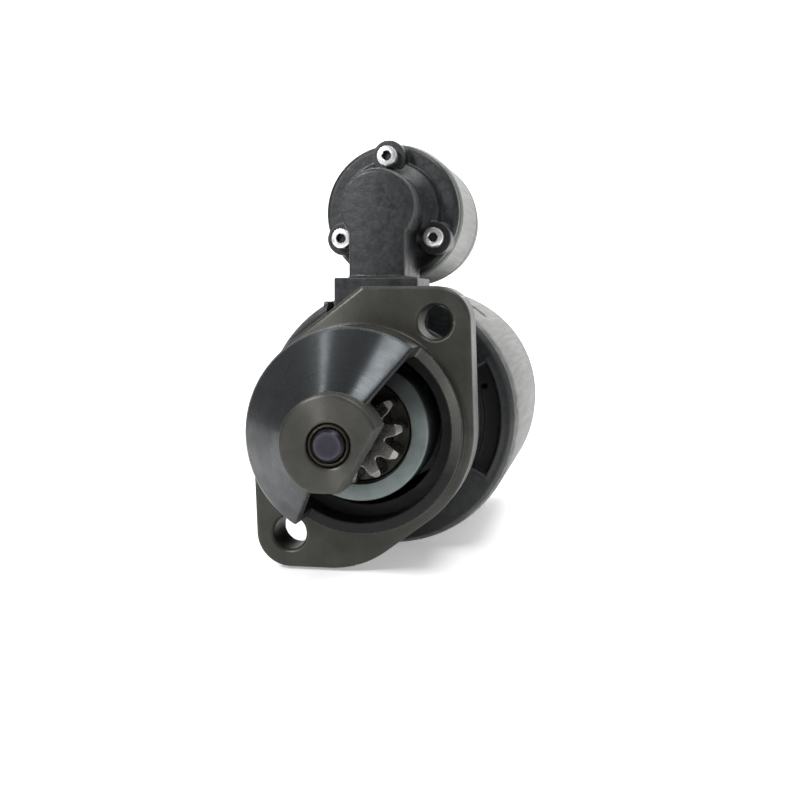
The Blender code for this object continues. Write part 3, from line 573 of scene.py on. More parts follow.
def turned_iron():
    """The nose cone: finely turned, so highlights run straight from its front to its rim."""
    paint = Paint("turned_iron", (0.06, 0.066, 0.069), 0.3, 0.9, Anisotropic=0.8, Anisotropic_Rotation=0.25)
    marks = paint.rings(paint.distance(), 2600, 4)
    patches = paint.noise(90, 4, 0.6)
    colour = paint.patchy(marks, 0.3, 0.7, (0.030, 0.034, 0.036), (0.049, 0.054, 0.057))
    colour = paint.mix(paint.ramp(patches, (0.40, 0.0), (0.66, 0.7)), colour, (0.024, 0.026, 0.027))
    rough = paint.ramp(patches, (0.3, 0.24), (0.7, 0.34))
    normal = paint.bump(marks, 0.2, 0.00004)
    tangent = paint.node("ShaderNodeTangent", direction_type="RADIAL", axis="Y").outputs[0]
    return paint.finish(colour, rough, normal, tangent)


def window_rim():
    """The floor of the window around the pinion: cut iron above, darker towards the bottom."""
    paint = Paint("window_rim", (0.04, 0.04, 0.038), 0.5, 0.6)
    height = paint.node("ShaderNodeSeparateXYZ", {0: paint.place}).outputs["Z"]
    grain = paint.noise(700, 4, 0.7)
    level = paint.node("ShaderNodeMapRange", {0: height, 1: -0.022, 2: 0.020}).outputs[0]
    level = paint.math("ADD", level, paint.math("MULTIPLY", paint.noise(140), 0.3), clamp=True)
    colour = paint.ramp(level, (0.25, (0.010, 0.010, 0.0098)), (1.0, (0.085, 0.084, 0.078)))
    return paint.finish(colour, paint.ramp(grain, (0.3, 0.42), (0.7, 0.6)), paint.bump(grain, 0.4, 0.0002))


def raw_and_shaded_casting(name, dark, light, shine=0.3):
    """Dark walls: unmachined casting with scale and oil, darkened further as painted shade in hollows and
    recesses.
    """
    paint = Paint(name, dark, 0.6, 0.2, Specular_IOR_Level=shine)
    grain = paint.noise(1500, 4, 0.7)
    patches = paint.noise(120, 4, 0.6)
    colour = paint.mix(patches, dark, light)
    rough = paint.ramp(patches, (0.3, 0.5), (0.7, 0.75))
    return paint.finish(colour, rough, paint.bump(grain, 0.5, 0.0002))


def black_paint():
    """Satin black paint over a casting, with a painted highlight along its edges."""
    paint = Paint("black_paint", (0.009, 0.010, 0.0112), 0.42, 0.0, Specular_IOR_Level=0.32)
    grain = paint.noise(1100, 4, 0.65)
    waves = paint.noise(260, 3, 0.5)
    patches = paint.noise(45, 4, 0.6)
    colour = paint.patchy(patches, 0.35, 0.7, (0.0055, 0.0060, 0.0068), (0.0115, 0.0125, 0.0138))
    colour = paint.edge_highlight(colour, 0.7, (0.085, 0.089, 0.092), 0.51, 0.58)
    mottle = paint.noise(520, 4, 0.7)
    colour = paint.mix(paint.ramp(mottle, (0.45, 0.0), (0.62, 0.8)), colour, (0.018, 0.0195, 0.0218))
    rough = paint.ramp(waves, (0.3, 0.32), (0.7, 0.5))
    normal = paint.bump(waves, 0.45, 0.0004)
    normal = paint.bump(grain, 0.35, 0.00015, normal)
    return paint.finish(colour, rough, normal)


def pale_coat():
    """Matt pale coating on rolled steel tube."""
    paint = Paint("pale_coat", (0.117, 0.121, 0.113), 0.5, 0.35)
    drawn = paint.noise(500, 3, 0.6, (1, 0.05, 1))
    fine = paint.noise(2200, 2, 0.5)
    patches = paint.noise(28, 4, 0.55)
    colour = paint.patchy(patches, 0.3, 0.7, (0.109, 0.113, 0.106), (0.131, 0.136, 0.127))
    colour = paint.part(drawn, 0.10, colour, (0.087, 0.090, 0.084))
    # Painted highlight: a lighter shade along raised edges.
    colour = paint.edge_highlight(colour, 0.4, (0.50, 0.52, 0.49))
    rough = paint.ramp(drawn, (0.3, 0.44), (0.7, 0.56))
    return paint.finish(colour, rough, paint.bump(fine, 0.2, 0.00006))


def zinc_plate():
    paint = Paint("zinc_plate", (0.12, 0.145, 0.14), 0.42, 0.85, Anisotropic=0.3)
    marks = paint.rings(paint.distance(), 1800, 3)
    patches = paint.noise(110, 4, 0.6)
    colour = paint.patchy(patches, 0.3, 0.72, (0.098, 0.120, 0.116), (0.150, 0.173, 0.168))
    # Painted highlight: a lighter shade along raised edges.
    colour = paint.edge_highlight(colour, 0.5, (0.36, 0.40, 0.39))
    # Painted shadow: the ring darkens towards its top, under the overhanging nose.
    height = paint.node("ShaderNodeSeparateXYZ", {0: paint.place}).outputs["Z"]
    top_shadow = paint.node("ShaderNodeMapRange", {0: height, 1: 0.004, 2: 0.020}).outputs[0]
    colour = paint.part(top_shadow, 0.8, colour, (0.018, 0.019, 0.018))
    rough = paint.ramp(marks, (0.3, 0.34), (0.7, 0.5))
    return paint.finish(colour, rough, paint.bump(marks, 0.15, 0.00004))


def bare_steel(name, colour, roughness, scale=700, metallic=0.95):
    """Steel in the given shade, with fine scratches, oil patches and a painted highlight on its edges."""
    paint = Paint(name, colour, roughness, metallic)
    dark = tuple(c * 0.72 for c in colour)
    light = tuple(min(1.0, c * 1.7 + 0.05) for c in colour)
    patches = paint.noise(130, 4, 0.6)
    scratches = paint.noise(scale, 4, 0.7, (1, 3, 1))
    shade = paint.patchy(patches, 0.35, 0.7, dark, colour)
    shade = paint.edge_highlight(shade, 0.6, light)
    rough = paint.ramp(scratches, (0.3, roughness * 0.8), (0.7, min(1.0, roughness * 1.3)))
    return paint.finish(shade, rough, paint.bump(scratches, 0.2, 0.00005))


def copper_wire():
    """Varnished copper, wound in fine turns."""
    paint = Paint("copper_wire", (0.45, 0.18, 0.08), 0.3, 0.9, Coat_Weight=0.4, Coat_Roughness=0.2)
    patches = paint.noise(150, 4, 0.6)
    fine = paint.noise(1200, 2, 0.5, (1, 4, 1))
    colour = paint.mix(patches, (0.36, 0.13, 0.055), (0.55, 0.25, 0.12))
    return paint.finish(colour, paint.ramp(fine, (0.3, 0.24), (0.7, 0.4)), paint.bump(fine, 0.4, 0.0002))


def moulded(name, colour, roughness, grain=1400):
    """Plastic, rubber or pressed carbon with a fine moulded grain."""
    paint = Paint(name, colour, roughness, 0.0)
    light = tuple(c * 1.8 + 0.006 for c in colour)
    patches = paint.noise(70, 4, 0.6)
    fine = paint.noise(grain, 3, 0.6)
    shade = paint.mix(paint.ramp(patches, (0.35, 0.0), (0.75, 0.8)), colour, light)
    # Painted highlight: a lighter shade along raised edges.
    shade = paint.edge_highlight(shade, 0.4, tuple(c * 3 + 0.02 for c in colour))
    rough = paint.ramp(fine, (0.3, roughness * 0.85), (0.7, min(1.0, roughness * 1.15)))
    return paint.finish(shade, rough, paint.bump(fine, 0.35, 0.00012))


LOOKS = {
    "ground": ground_iron("faced_iron", True),
    "side": ground_iron("milled_iron"),
    "rim": window_rim(),
    "turned": turned_iron(),
    # Nose interior: as-cast iron, darkened further as painted shade.
    "raw_shaded": raw_and_shaded_casting("raw_iron_shaded", (0.010, 0.0105, 0.011), (0.023, 0.023, 0.022)),
    # Painted shade for the housing's pockets, rooms and the corner by the lower lugs.
    "deep": raw_and_shaded_casting("painted_recess_shade", (0.006, 0.0063, 0.0068), (0.012, 0.0125, 0.0132), 0.2),
    "black": black_paint(),
    "pale": pale_coat(),
    "zinc": zinc_plate(),
    "steel": bare_steel("tool_steel", (0.12, 0.12, 0.117), 0.34),
    "gear": bare_steel("gear_steel", (0.115, 0.112, 0.105), 0.26, 500),
    # Ground steel, lightened as a painted highlight on the pinion's lead-in.
    "lead_in": bare_steel("lead_in_highlight_steel", (0.26, 0.255, 0.24), 0.24, 500),
    # Painted shade: the clutch shell is made dark for the shade between the pinion's teeth.
    "oiled": bare_steel("dark_steel_gap_shade", (0.055, 0.053, 0.046), 0.42),
    "shaft": bare_steel("shaft_steel", (0.036, 0.034, 0.044), 0.34, 600),
    "bright": bare_steel("bright_zinc", (0.74, 0.75, 0.74), 0.28, 900),
    "bronze": bare_steel("bronze", (0.040, 0.034, 0.024), 0.45, 900),
    "copper": copper_wire(),
    "bar": bare_steel("bare_copper", (0.34, 0.16, 0.09), 0.32, 700),
    "plastic": moulded("black_phenolic", (0.016, 0.016, 0.017), 0.42),
    "rubber": moulded("rubber", (0.018, 0.018, 0.018), 0.78, 900),
    "carbon": moulded("carbon", (0.04, 0.038, 0.036), 0.55, 1800),
}


# Nose bracket


def flange_outline():
    """Two bolt lobes joined by a straight edge, a corner and a round side, twice.

    The upper corner is sharp and the lower one is rounded.
    """
    top = BOLT_HOLE[1] + LOBE_RADIUS
    run = (top - FLANGE_ROUND * sin(FLANGE_TOUCH)) / -cos(FLANGE_TOUCH)
    corner = (FLANGE_ROUND * cos(FLANGE_TOUCH) + run * sin(FLANGE_TOUCH), top)
    lobe = arc(BOLT_HOLE, LOBE_RADIUS, 0, 90, 32)
    side = arc((0, 0), FLANGE_ROUND, degrees(FLANGE_TOUCH), 180, 32)
    lower = lobe + rounded_corner(lobe[-1], corner, side[0], LOW_CORNER_REACH, 16) + side
    return lobe + [corner] + side + [(-x, -z) for x, z in lower]


def plane_cutter(angle, offset, start, end):
    """Everything beyond a plane parallel to the shaft, whose normal dips below +X by angle."""
    reach = 0.07
    slab = box((offset, start, -reach), (offset + reach, end, reach))
    return moved(slab, Matrix.Rotation(angle, 4, "Y"))


def twin_rods(radius, place, start, end, segments=SMALL_TURN):
    """Two rods along Y on opposite sides of the shaft."""
    x, z = place
    return [rod(radius, (s * x, start, s * z), (s * x, end, s * z), segments) for s in (1, -1)]


def nose_bracket():
    nose = turned(
        [(0, 0.010), (PILOT_RADIUS, 0.010), (PILOT_RADIUS, NOSE_SHOULDER + 0.001),
         (PILOT_RADIUS - 0.001, NOSE_SHOULDER - 0.0008), (CONE_FRONT_RADIUS, CONE_FRONT),
         (0, CONE_FRONT)],
    )
    nose = cut(nose, plane_cutter(WINDOW_ANGLE, WINDOW_OFFSET, -0.07, RIM_FRONT))
    boss = turned(
        [(0, BOSS_BACK + 0.002), (BOSS_RADIUS, BOSS_BACK + 0.002), (BOSS_RADIUS, BOSS_FRONT + 0.0006),
         (BOSS_RADIUS - 0.0006, BOSS_FRONT), (0, BOSS_FRONT)],
    )
    boss = cut(boss, plane_cutter(BOSS_CUT_ANGLE, BOSS_CUT_OFFSET, -0.07, -0.02))
    boss = cut(boss, box((-0.03, -0.07, -0.03), (0.03, -0.02, BOSS_FLAT)))
    body = join(prism(flange_outline(), 0, FLANGE_BACK, edge=0.0015), nose, boss)
    room = turned(
        [(0, 0.020), (CLUTCH_ROOM_RADIUS, 0.020), (CLUTCH_ROOM_RADIUS, 0.008),
         (PINION_ROOM_RADIUS, 0.008), (PINION_ROOM_RADIUS, -0.017), (0.0205, BOSS_BACK),
         (0, BOSS_BACK)],
    )
    bore = turned(
        [(0, BOSS_BACK + 0.002), (NOSE_BUSH_RADIUS + 0.0002, BOSS_BACK + 0.002),
         (NOSE_BUSH_RADIUS + 0.0002, BOSS_FRONT + 0.0004),
         (NOSE_BUSH_RADIUS + 0.0011, BOSS_FRONT - 0.0005), (0, BOSS_FRONT - 0.0005)],
        MEDIUM_TURN,
    )
    body = cut(body, room, bore, *twin_rods(BOLT_HOLE_RADIUS, BOLT_HOLE, -0.005, 0.025, 64))
    sink = [(0, 0.0010), (BOLT_HOLE_RADIUS, 0.0010), (BOLT_HOLE_RADIUS + 0.0020, -0.0010), (0, -0.0010)]
    for side in (1, -1):
        mouth = turned(sink, MEDIUM_TURN)
        body = cut(body, placed(mouth, side * BOLT_HOLE[0], side * BOLT_HOLE[1]))
    body = melted(body, 0.0004, 6)

    def region(centre, normal):
        """Turned on the cone, as-cast and darkened as painted shade inside, and its own look on the rim,
        the sides and the rest.
        """
        distance, outward = facing(centre, normal)
        if distance < PINION_ROOM_RADIUS + 0.0005 and centre.y > BOSS_BACK - 0.0006 and outward < 0.3:
            return 2
        if abs(centre.y - RIM_FRONT) < 0.0007 and distance < PILOT_RADIUS - 0.0005:
            return 3
        if distance > BOSS_RADIUS + 0.0003 and centre.y < NOSE_SHOULDER + 0.003 and outward > 0.3:
            return 1
        return 4 if abs(normal.y) < 0.8 else 0

    looks = ("ground", "turned", "raw_shaded", "rim", "side")
    show(body, "bracket_casting", "drive_end_bracket", looks, angle=None, rule=region)


def nose_bush():
    inner = NOSE_JOURNAL + 0.0002
    low, high = ends("nose_bush")
    outer = NOSE_BUSH_RADIUS
    rim = [(outer, low + 0.0008), (outer - 0.0007, low), (inner + 0.0005, low), (inner, low + 0.0005)]
    bush = turned([(outer, high), *rim, (inner, high)], MEDIUM_TURN, 0.0002)
    show(bush, "nose_bush_ring", "nose_bush", "bronze")


# Shaft, pinion and clutch


def shaft():
    low, high = ends("armature_shaft")
    core_back = 0.140
    body = turned(
        [(0, high), (0.0053, high), (0.006, high - 0.0007), (0.006, 0.1702), (0.0075, 0.1698),
         (0.0075, core_back + 0.0004), (0.0090, core_back), (0.0090, 0.0640), (0.0083, 0.0636),
         (0.0083, 0.0206), (0.0078, 0.0200), (NOSE_JOURNAL, 0.0200), (NOSE_JOURNAL, low + 0.0016),
         (NOSE_JOURNAL - 0.0011, low), (0.0030, low), (0, low + 0.0002)],
        MEDIUM_TURN,
    )
    groove_back = front("armature_core") - 0.018
    grooves = [
        spun(box((-0.0008, 0.0215, 0.0078), (0.0008, groove_back, 0.0095)), 360 / SPLINES * i)
        for i in range(SPLINES)
    ]
    show(cut(body, *grooves), "shaft_turning", "armature_shaft", "shaft", "armature")


def gear_outline():
    """Eleven teeth with curved flanks, rounded tips and rounded roots."""
    points = []
    pitch = 2 * pi / PINION_TEETH
    profile = ((0.0130, 0.47), (0.0134, 0.385), (0.0146, 0.325), (0.0160, 0.275), (0.0174, 0.215),
               (0.0186, 0.155), (0.0192, 0.11), (0.0194, 0.06))
    for i in range(PINION_TEETH):
        middle_angle = PINION_PHASE + i * pitch
        flank = [(radius, -half) for radius, half in profile]
        for radius, half in flank + [(radius, -turn) for radius, turn in reversed(flank)]:
            angle = middle_angle + half * pitch
            points.append((radius * cos(angle), radius * sin(angle)))
    return points


def pinion_gear():
    low = front("pinion")
    face_back = -0.0012
    teeth = prism(gear_outline(), low, face_back, edge=0.0003)
    lead_in = turned(
        [(0, face_back + 0.001), (PINION_TIP + 0.0003, face_back + 0.001),
         (PINION_TIP + 0.0003, low + 0.0030), (PINION_TIP - 0.0022, low - 0.0001), (0, low - 0.0001)],
        MEDIUM_TURN,
    )
    teeth = combined(teeth, lead_in, "INTERSECT")
    hub = rod(PINION_HUB_RADIUS, (0, -0.003, 0), (0, back("pinion"), 0), MEDIUM_TURN)
    bore = turned(
        [(0, 0.020), (NOSE_JOURNAL + GAP, 0.020), (NOSE_JOURNAL + GAP, low + 0.0008),
         (NOSE_JOURNAL + 0.0013, low - 0.0004), (0, low - 0.0004)],
        MEDIUM_TURN,
    )
    gear = melted(cut(join(teeth, hub), bore), 0.00022, 4)

    def region(centre, normal):
        """The lead-in cone at the front of the teeth is lighter: ground steel with a painted highlight."""
        outward = facing(centre, normal)[1]
        return 1 if outward > 0.35 and normal.y < -0.35 and centre.y < low + 0.0035 else 0

    looks = ("gear", "lead_in")
    show(gear, "pinion_gear", "pinion", looks, "pinion", angle=None, rule=region)


def clutch():
    low, high = ends("clutch_cover")
    outer = radius_of("clutch_cover")
    mouth = 0.021
    wall = 0.001
    inner_lip = 0.0245
    cover = turned(
        [(inner_lip, high), (outer, high), (outer, low), (mouth, low), (mouth, low + wall),
         (outer - wall, low + wall), (outer - wall, high - wall), (inner_lip, high - wall)],
        FINE_TURN,
        0.0011,
    )
    show(cover, "clutch_cover_pressing", "clutch_cover", "zinc", "drive")
    low, high = ends("clutch_shell")
    outer = radius_of("clutch_shell")
    collar = 0.0608
    shell = turned(
        [(0.0145, high), (0.0145, collar), (0.012, collar), (0.012, 0.0205), (outer, 0.0205),
         (outer, low), (0.0205, low), (0.0200, low + 0.0007), (0.0150, low + 0.0007), (0.0145, low),
         (PINION_HUB_RADIUS + GAP, low), (PINION_HUB_RADIUS + GAP, 0.0175), (0.0086, 0.0175),
         (0.0086, high)],
        MEDIUM_TURN,
        0.0003,
    )
    # Painted shade: the shell is dark where it shows between the pinion's teeth.
    show(shell, "clutch_shell_turning", "clutch_shell", "oiled", "drive")


def guide_ring():
    low, high = ends("guide_ring")
    outer = radius_of("guide_ring")
    rim = 0.0022
    ring = turned(
        [(outer, high), (outer, high - rim), (0.015, high - rim), (0.015, low + rim),
         (outer, low + rim), (outer, low), (0.0123, low), (0.0123, high)],
        MEDIUM_TURN,
        0.0005,
    )
    show(ring, "guide_ring_turning", "guide_ring", "steel", "drive")


def spring(node, wire, turns, body, height=0.0):
    low, high = ends(node)
    wound = placed(coil(radius_of(node) - wire, wire, turns, low, high), 0, height)
    show(wound, f"{node}_wire", node, "bright", body, angle=None)


# Lever housing


def lug_places():
    return [(LUG_CIRCLE * cos(a), SOLENOID_HEIGHT + LUG_CIRCLE * sin(a)) for a in LUG_ANGLES]


def keyhole_outline(grow=0.0):
    """The lever dome seen from the front: a round head on a straight-sided column."""
    head = DOME_RADIUS + grow
    half = COLUMN_HALF + grow
    meet = degrees(asin(half / head))
    outline = arc((0, SOLENOID_HEIGHT), head, -90 + meet, 270 - meet, 72)
    return outline + [(-half, 0.040), (half, 0.040)]


def solenoid_seat():
    """The stepped round flange that the solenoid is screwed to, with its three lugs."""
    seat = turned(
        [(0, SEAT_BACK), (SEAT_RADIUS, SEAT_BACK), (SEAT_RADIUS, SEAT_FRONT + 0.0015),
         (SEAT_RADIUS - 0.0015, SEAT_FRONT), (0.0225, SEAT_FRONT), (0.0215, 0.0590), (0.0186, 0.0566),
         (0.0165, 0.0550), (0, 0.0550)],
    )
    lugs = [rod(LUG_RADIUS, (x, LUG_FRONT, z), (x, SEAT_BACK - 0.0002, z)) for x, z in lug_places()]
    return join(lifted(seat), *lugs)


def pocket(side, grow, inner, reach, corner, low, high):
    """A block in the shape of a side pocket, grown by a little on its outer side."""
    outline = arc((0, 0), POCKET_RADIUS + grow, -reach, reach, 40)
    outline += arc((0, 0), inner, reach, -reach, 40)
    return prism([(side * x, z) for x, z in softened(outline, corner)], low, high)


def pocket_cutter(side):
    inner = FRONT_BODY_RADIUS + 0.0008
    floor = DISC_FRONT + POCKET_DEPTH
    return pocket(side, 0, inner, POCKET_HALF_ANGLE, 0.004, DISC_FRONT - 0.002, floor)


def pocket_bead(side):
    """A raised rim around a pocket."""
    inner = FRONT_BODY_RADIUS - 0.001
    reach = POCKET_HALF_ANGLE + 1.6
    return pocket(side, 0.0014, inner, reach, 0.005, DISC_FRONT - 0.0007, DISC_FRONT + 0.002)


def lever_housing():
    body = turned(
        [(0, HOUSING_BACK), (YOKE_RADIUS, HOUSING_BACK), *DISC_EDGE, (FRONT_BODY_RADIUS, DISC_FRONT),
         (FRONT_BODY_RADIUS, HOUSING_FRONT), (0, HOUSING_FRONT)],
    )
    neck = box((-NECK_HALF, NECK_FRONT, 0.030), (NECK_HALF, HOUSING_BACK - 0.0001, NECK_TOP))
    dome = prism(keyhole_outline(), DOME_FRONT - 0.0006, COLUMN_BACK, edge=0.0030)
    crown = DOME_FRONT + CROWN_RADIUS
    dome = combined(dome, rod(CROWN_RADIUS, (0, crown, 0.03), (0, crown, 0.12), 512), "INTERSECT")
    dome = cut(dome, box((-0.02, 0.0597, 0.03), (0.02, 0.08, 0.0587)))
    body = cut(join(body, neck, box(TAB_LOW, TAB_HIGH)), box(SLOT_LOW, SLOT_HIGH))
    body = join(body, dome, solenoid_seat(), pocket_bead(1), pocket_bead(-1))
    room = turned(
        [(0, HOUSING_BACK + 0.002), (CAVITY_RADIUS, HOUSING_BACK + 0.002),
         (CAVITY_RADIUS, CAVITY_FRONT), (CLUTCH_ROOM_RADIUS, CAVITY_FRONT),
         (CLUTCH_ROOM_RADIUS, HOUSING_FRONT - 0.002), (0, HOUSING_FRONT - 0.002)],
    )
    neck_room = box((-0.0135, ROOM_FRONT, 0.028), (0.0135, 0.0565, 0.0545))
    column_room = box((-ROOM_HALF, ROOM_FRONT, 0.050), (ROOM_HALF, 0.0560, SOLENOID_HEIGHT))
    upper_room = box((-ROOM_HALF, 0.0550, 0.0640), (ROOM_HALF, ROOM_BACK, SOLENOID_HEIGHT))
    dome_room = lifted(rod(0.0118, (0, ROOM_FRONT, 0), (0, ROOM_BACK, 0), MEDIUM_TURN))
    spigot = lifted(rod(0.0160, (0, 0.0625, 0), (0, SEAT_BACK + 0.002, 0), MEDIUM_TURN))
    body = cut(body, room, neck_room, column_room, upper_room, dome_room, spigot)
    pin = middle("lever_pivot_pin")
    body = cut(body, rod(0.0037, (-0.03, pin.y, pin.z), (0.03, pin.y, pin.z)))
    body = cut(body, *[rod(0.0027, (x, 0.05, z), (x, 0.08, z)) for x, z in lug_places()])
    tip = front("through_bolt_1") - GAP
    body = cut(body, *twin_rods(0.0033, (BOLT_CIRCLE, 0), tip, 0.065))
    body = cut(body, *twin_rods(BOLT_HEAD_RADIUS, BOLT_HOLE, 0.010, 0.027, 64))
    x, z = POCKET_HOLE
    hole = rod(POCKET_HOLE_RADIUS, (x, DISC_FRONT, z), (x, DISC_FRONT + 0.007, z))
    body = cut(body, pocket_cutter(1), pocket_cutter(-1), hole)
    body = melted(body, 0.0005, 4)

    def region(centre, normal):
        """Painted shade inside the pockets, between the column and the lower lugs, and in the rooms."""
        distance, outward = facing(centre, normal)
        aside = abs(centre.x)
        deep = centre.y > DISC_FRONT + POCKET_DEPTH * 0.6
        in_pocket = deep and distance < POCKET_RADIUS and aside > 0.035
        in_room = distance < CAVITY_RADIUS + 0.0005 and outward < 0 and abs(centre.z) < 0.045
        below_lugs = aside > COLUMN_HALF - 0.0006 and 0.0615 < centre.z < SOLENOID_HEIGHT - 0.008
        lug_x, lug_z = lug_places()[2]
        near_lug = hypot(aside - lug_x, centre.z - lug_z) < LUG_RADIUS + 0.0005
        in_corner = below_lugs and centre.y > 0.0540 and not (near_lug and normal.y < -0.5)
        within = hypot(centre.x, centre.z - SOLENOID_HEIGHT) < 0.0275
        return 1 if in_pocket or in_room or (in_corner and within) else 0

    looks = ("black", "deep")
    show(body, "housing_casting", "lever_housing", looks, angle=None, rule=region)


def pivot_pin():
    centre = middle("lever_pivot_pin")
    half = radius_of("lever_pivot_pin")
    pin = turned([(0, half), (0.0035, half), (0.0035, -half), (0, -half)], SMALL_TURN, 0.0005)
    across = Matrix.Rotation(radians(90), 4, "Z")
    pin = moved(pin, Matrix.Translation((0, centre.y, centre.z)) @ across)
    show(pin, "pivot_pin", "lever_pivot_pin", "bright")


def socket_screw(x, z):
    low = front("solenoid_screw_1")
    seat = LUG_FRONT - GAP
    screw = turned(
        [(0, 0.0762), (0.0021, 0.0762), (0.0025, 0.0757), (0.0025, seat), (0.0044, seat),
         (0.0044, low + 0.0007), (0.0042, low + 0.0002), (0.0037, low), (0, low)],
        SMALL_TURN,
    )
    socket = prism(arc((0, 0), 0.0022, 0, 300, 5), low - 0.001, low + 0.0026)
    mouth = [(0, low + 0.0009), (0.0013, low + 0.0009), (0.0027, low - 0.0004), (0, low - 0.0004)]
    mouth = turned(mouth, MEDIUM_TURN)
    return placed(cut(screw, socket, mouth), x, z)


def solenoid_screws():
    for number, (x, z) in enumerate(lug_places(), 1):
        name = f"solenoid_screw_{number}"

        def recess(centre, normal, x=x, z=z):
            """The socket's walls and floor are dark: painted shade in the recess."""
            inside = hypot(centre.x - x, centre.z - z) < 0.0025
            return 1 if inside and centre.y > front("solenoid_screw_1") + 0.0002 else 0

        looks = ("bright", "shaft")
        show(socket_screw(x, z), f"socket_screw_{number}", name, looks, angle=25, rule=recess)


# Motor body


def yoke():
    low, high = ends("yoke_tube")
    bore = 0.051
    tube = turned([(YOKE_RADIUS, high), (YOKE_RADIUS, low), (bore, low), (bore, high)], FINE_TURN, 0.0006)
    for angle in POLE_ANGLES:
        hole = rod(0.0033, (0, POLE_SCREW_Y, 0.045), (0, POLE_SCREW_Y, 0.065))
        sink = upright([(0, 0.0600), (0.0110, 0.0600), (0.0034, 0.0524), (0, 0.0524)], POLE_SCREW_Y)
        tube = cut(tube, moved(join(hole, sink), about_shaft(angle)))
    lead = middle("strap_grommet")
    tube = cut(tube, rod(0.0075, (lead.x, lead.y, 0.045), (lead.x, lead.y, 0.065)))
    show(tube, "yoke_shell", "yoke_tube", "pale")


def pole_screws():
    for number, angle in enumerate(POLE_ANGLES, 1):
        screw = upright(
            [(0, 0.0567), (0.0040, 0.0567), (0.0073, 0.0563), (0.0075, 0.0559), (0.003, 0.0517),
             (0.003, 0.0427), (0.0026, 0.0424), (0, 0.0424)],
            POLE_SCREW_Y,
        )
        recess = rod(0.0030, (0, POLE_SCREW_Y, 0.0540), (0, POLE_SCREW_Y, 0.0600), 6)
        screw = moved(cut(screw, recess), about_shaft(angle))
        show(screw, f"pole_screw_head_{number}", f"pole_screw_{number}", "bright")


def dust_screw_holes():
    return twin_rods(DUST_SCREW_HOLE, (0, DUST_SCREW_HEIGHT), 0.18, 0.2)


def end_cap():
    low, high = ends("commutator_end_cap")
    outer = radius_of("commutator_end_cap")
    bore = 0.0087
    cap = turned(
        [(outer - 0.004, high), (outer, high - 0.004), (outer, low), (0.0525, low),
         (0.0525, high - 0.005), (0.013, high - 0.005), (0.012, 0.174), (bore, 0.174), (bore, high)],
    )
    bolts = twin_rods(0.0034, (BOLT_CIRCLE, 0), 0.18, 0.2)
    recess = turned(
        [(0.0405, high + 0.001), (0.0405, high - 0.0009), (0.0265, high - 0.0009), (0.0265, high + 0.001)],
    )
    rib_low, rib_high = (-0.0016, high - 0.003, 0.024), (0.0016, high + 0.003, 0.043)
    ribs = [spun(box(rib_low, rib_high), 360 / CAP_RIBS * (i + 0.5)) for i in range(CAP_RIBS)]
    recess = cut(recess, *ribs)
    cap = melted(cut(cap, recess, *bolts, *dust_screw_holes()), 0.0005, 6)
    show(cap, "end_cap_casting", "commutator_end_cap", "black", angle=None)


def rear_bush():
    outer = radius_of("rear_bush")
    low, high = ends("rear_bush")
    bush = turned([(outer, high), (outer, low), (0.0062, low), (0.0062, high)], MEDIUM_TURN, 0.0003)
    show(bush, "rear_bush_ring", "rear_bush", "bronze")


def dust_cap():
    low, high = ends("dust_cap")
    outer = radius_of("dust_cap")
    cap = turned(
        [(0, high), (0.0115, high), (0.0127, high - 0.0014), (0.0127, low + 0.0017),
         (outer, low + 0.0017), (outer, low), (0.0105, low), (0.0105, high - 0.0015),
         (0, high - 0.0015)],
        FINE_TURN,
        0.0007,
    )
    cap = cut(cap, *dust_screw_holes())
    show(cap, "dust_cap_pressing", "dust_cap", "zinc")


def slotted_screws():
    for number, z in enumerate((DUST_SCREW_HEIGHT, -DUST_SCREW_HEIGHT), 1):
        node = f"dust_cap_screw_{number}"
        low, high = ends(node)
        screw = turned(
            [(0, high), (0.0012, high), (0.0026, high - 0.0004), (0.0034, high - 0.0012),
             (0.0034, high - 0.0017), (0.0018, high - 0.0017), (0.0018, low + 0.0003),
             (0.0015, low), (0, low)],
            SMALL_TURN,
        )
        slot_box = spun(box((-0.0045, high - 0.0009, -0.0004), (0.0045, 0.2, 0.0004)), 35 * number)
        screw = placed(cut(screw, slot_box), 0, z)
        show(screw, f"slotted_screw_{number}", node, "bright", angle=25)


def through_bolts():
    for number, side in enumerate((1, -1), 1):
        node = f"through_bolt_{number}"
        low, high = ends(node)
        seat = back("commutator_end_cap") + GAP
        profile = [(0, seat + 0.001), (0.003, seat + 0.001), (0.003, low + 0.0005), (0.0025, low), (0, low)]
        shank = turned(profile, SMALL_TURN)
        head = hexagon(0.0049, seat, high, 0.0005)
        bolt = placed(join(shank, head), side * BOLT_CIRCLE, 0)
        show(bolt, f"long_bolt_{number}", node, "bright", angle=25)


# Solenoid


def solenoid_case():
    low, high = ends("solenoid_case")
    outer = radius_of("solenoid_case")
    case = turned(
        [(outer - 0.0012, high), (outer, high - 0.0012), (outer, high - 0.0040),
         (outer - 0.0005, high - 0.0045), (outer - 0.0005, high - 0.0056), (outer, high - 0.0061),
         (outer, low + 0.0008), (outer - 0.0008, low), (0.0133, low), (0.0133, 0.0776),
         (0.0286, 0.0776), (0.0286, high)],
    )
    holes = [rod(0.0028, (x, 0.065, z), (x, 0.0768, z)) for x, z in lug_places()]
    show(cut(lifted(case), *holes), "solenoid_can", "solenoid_case", "pale")


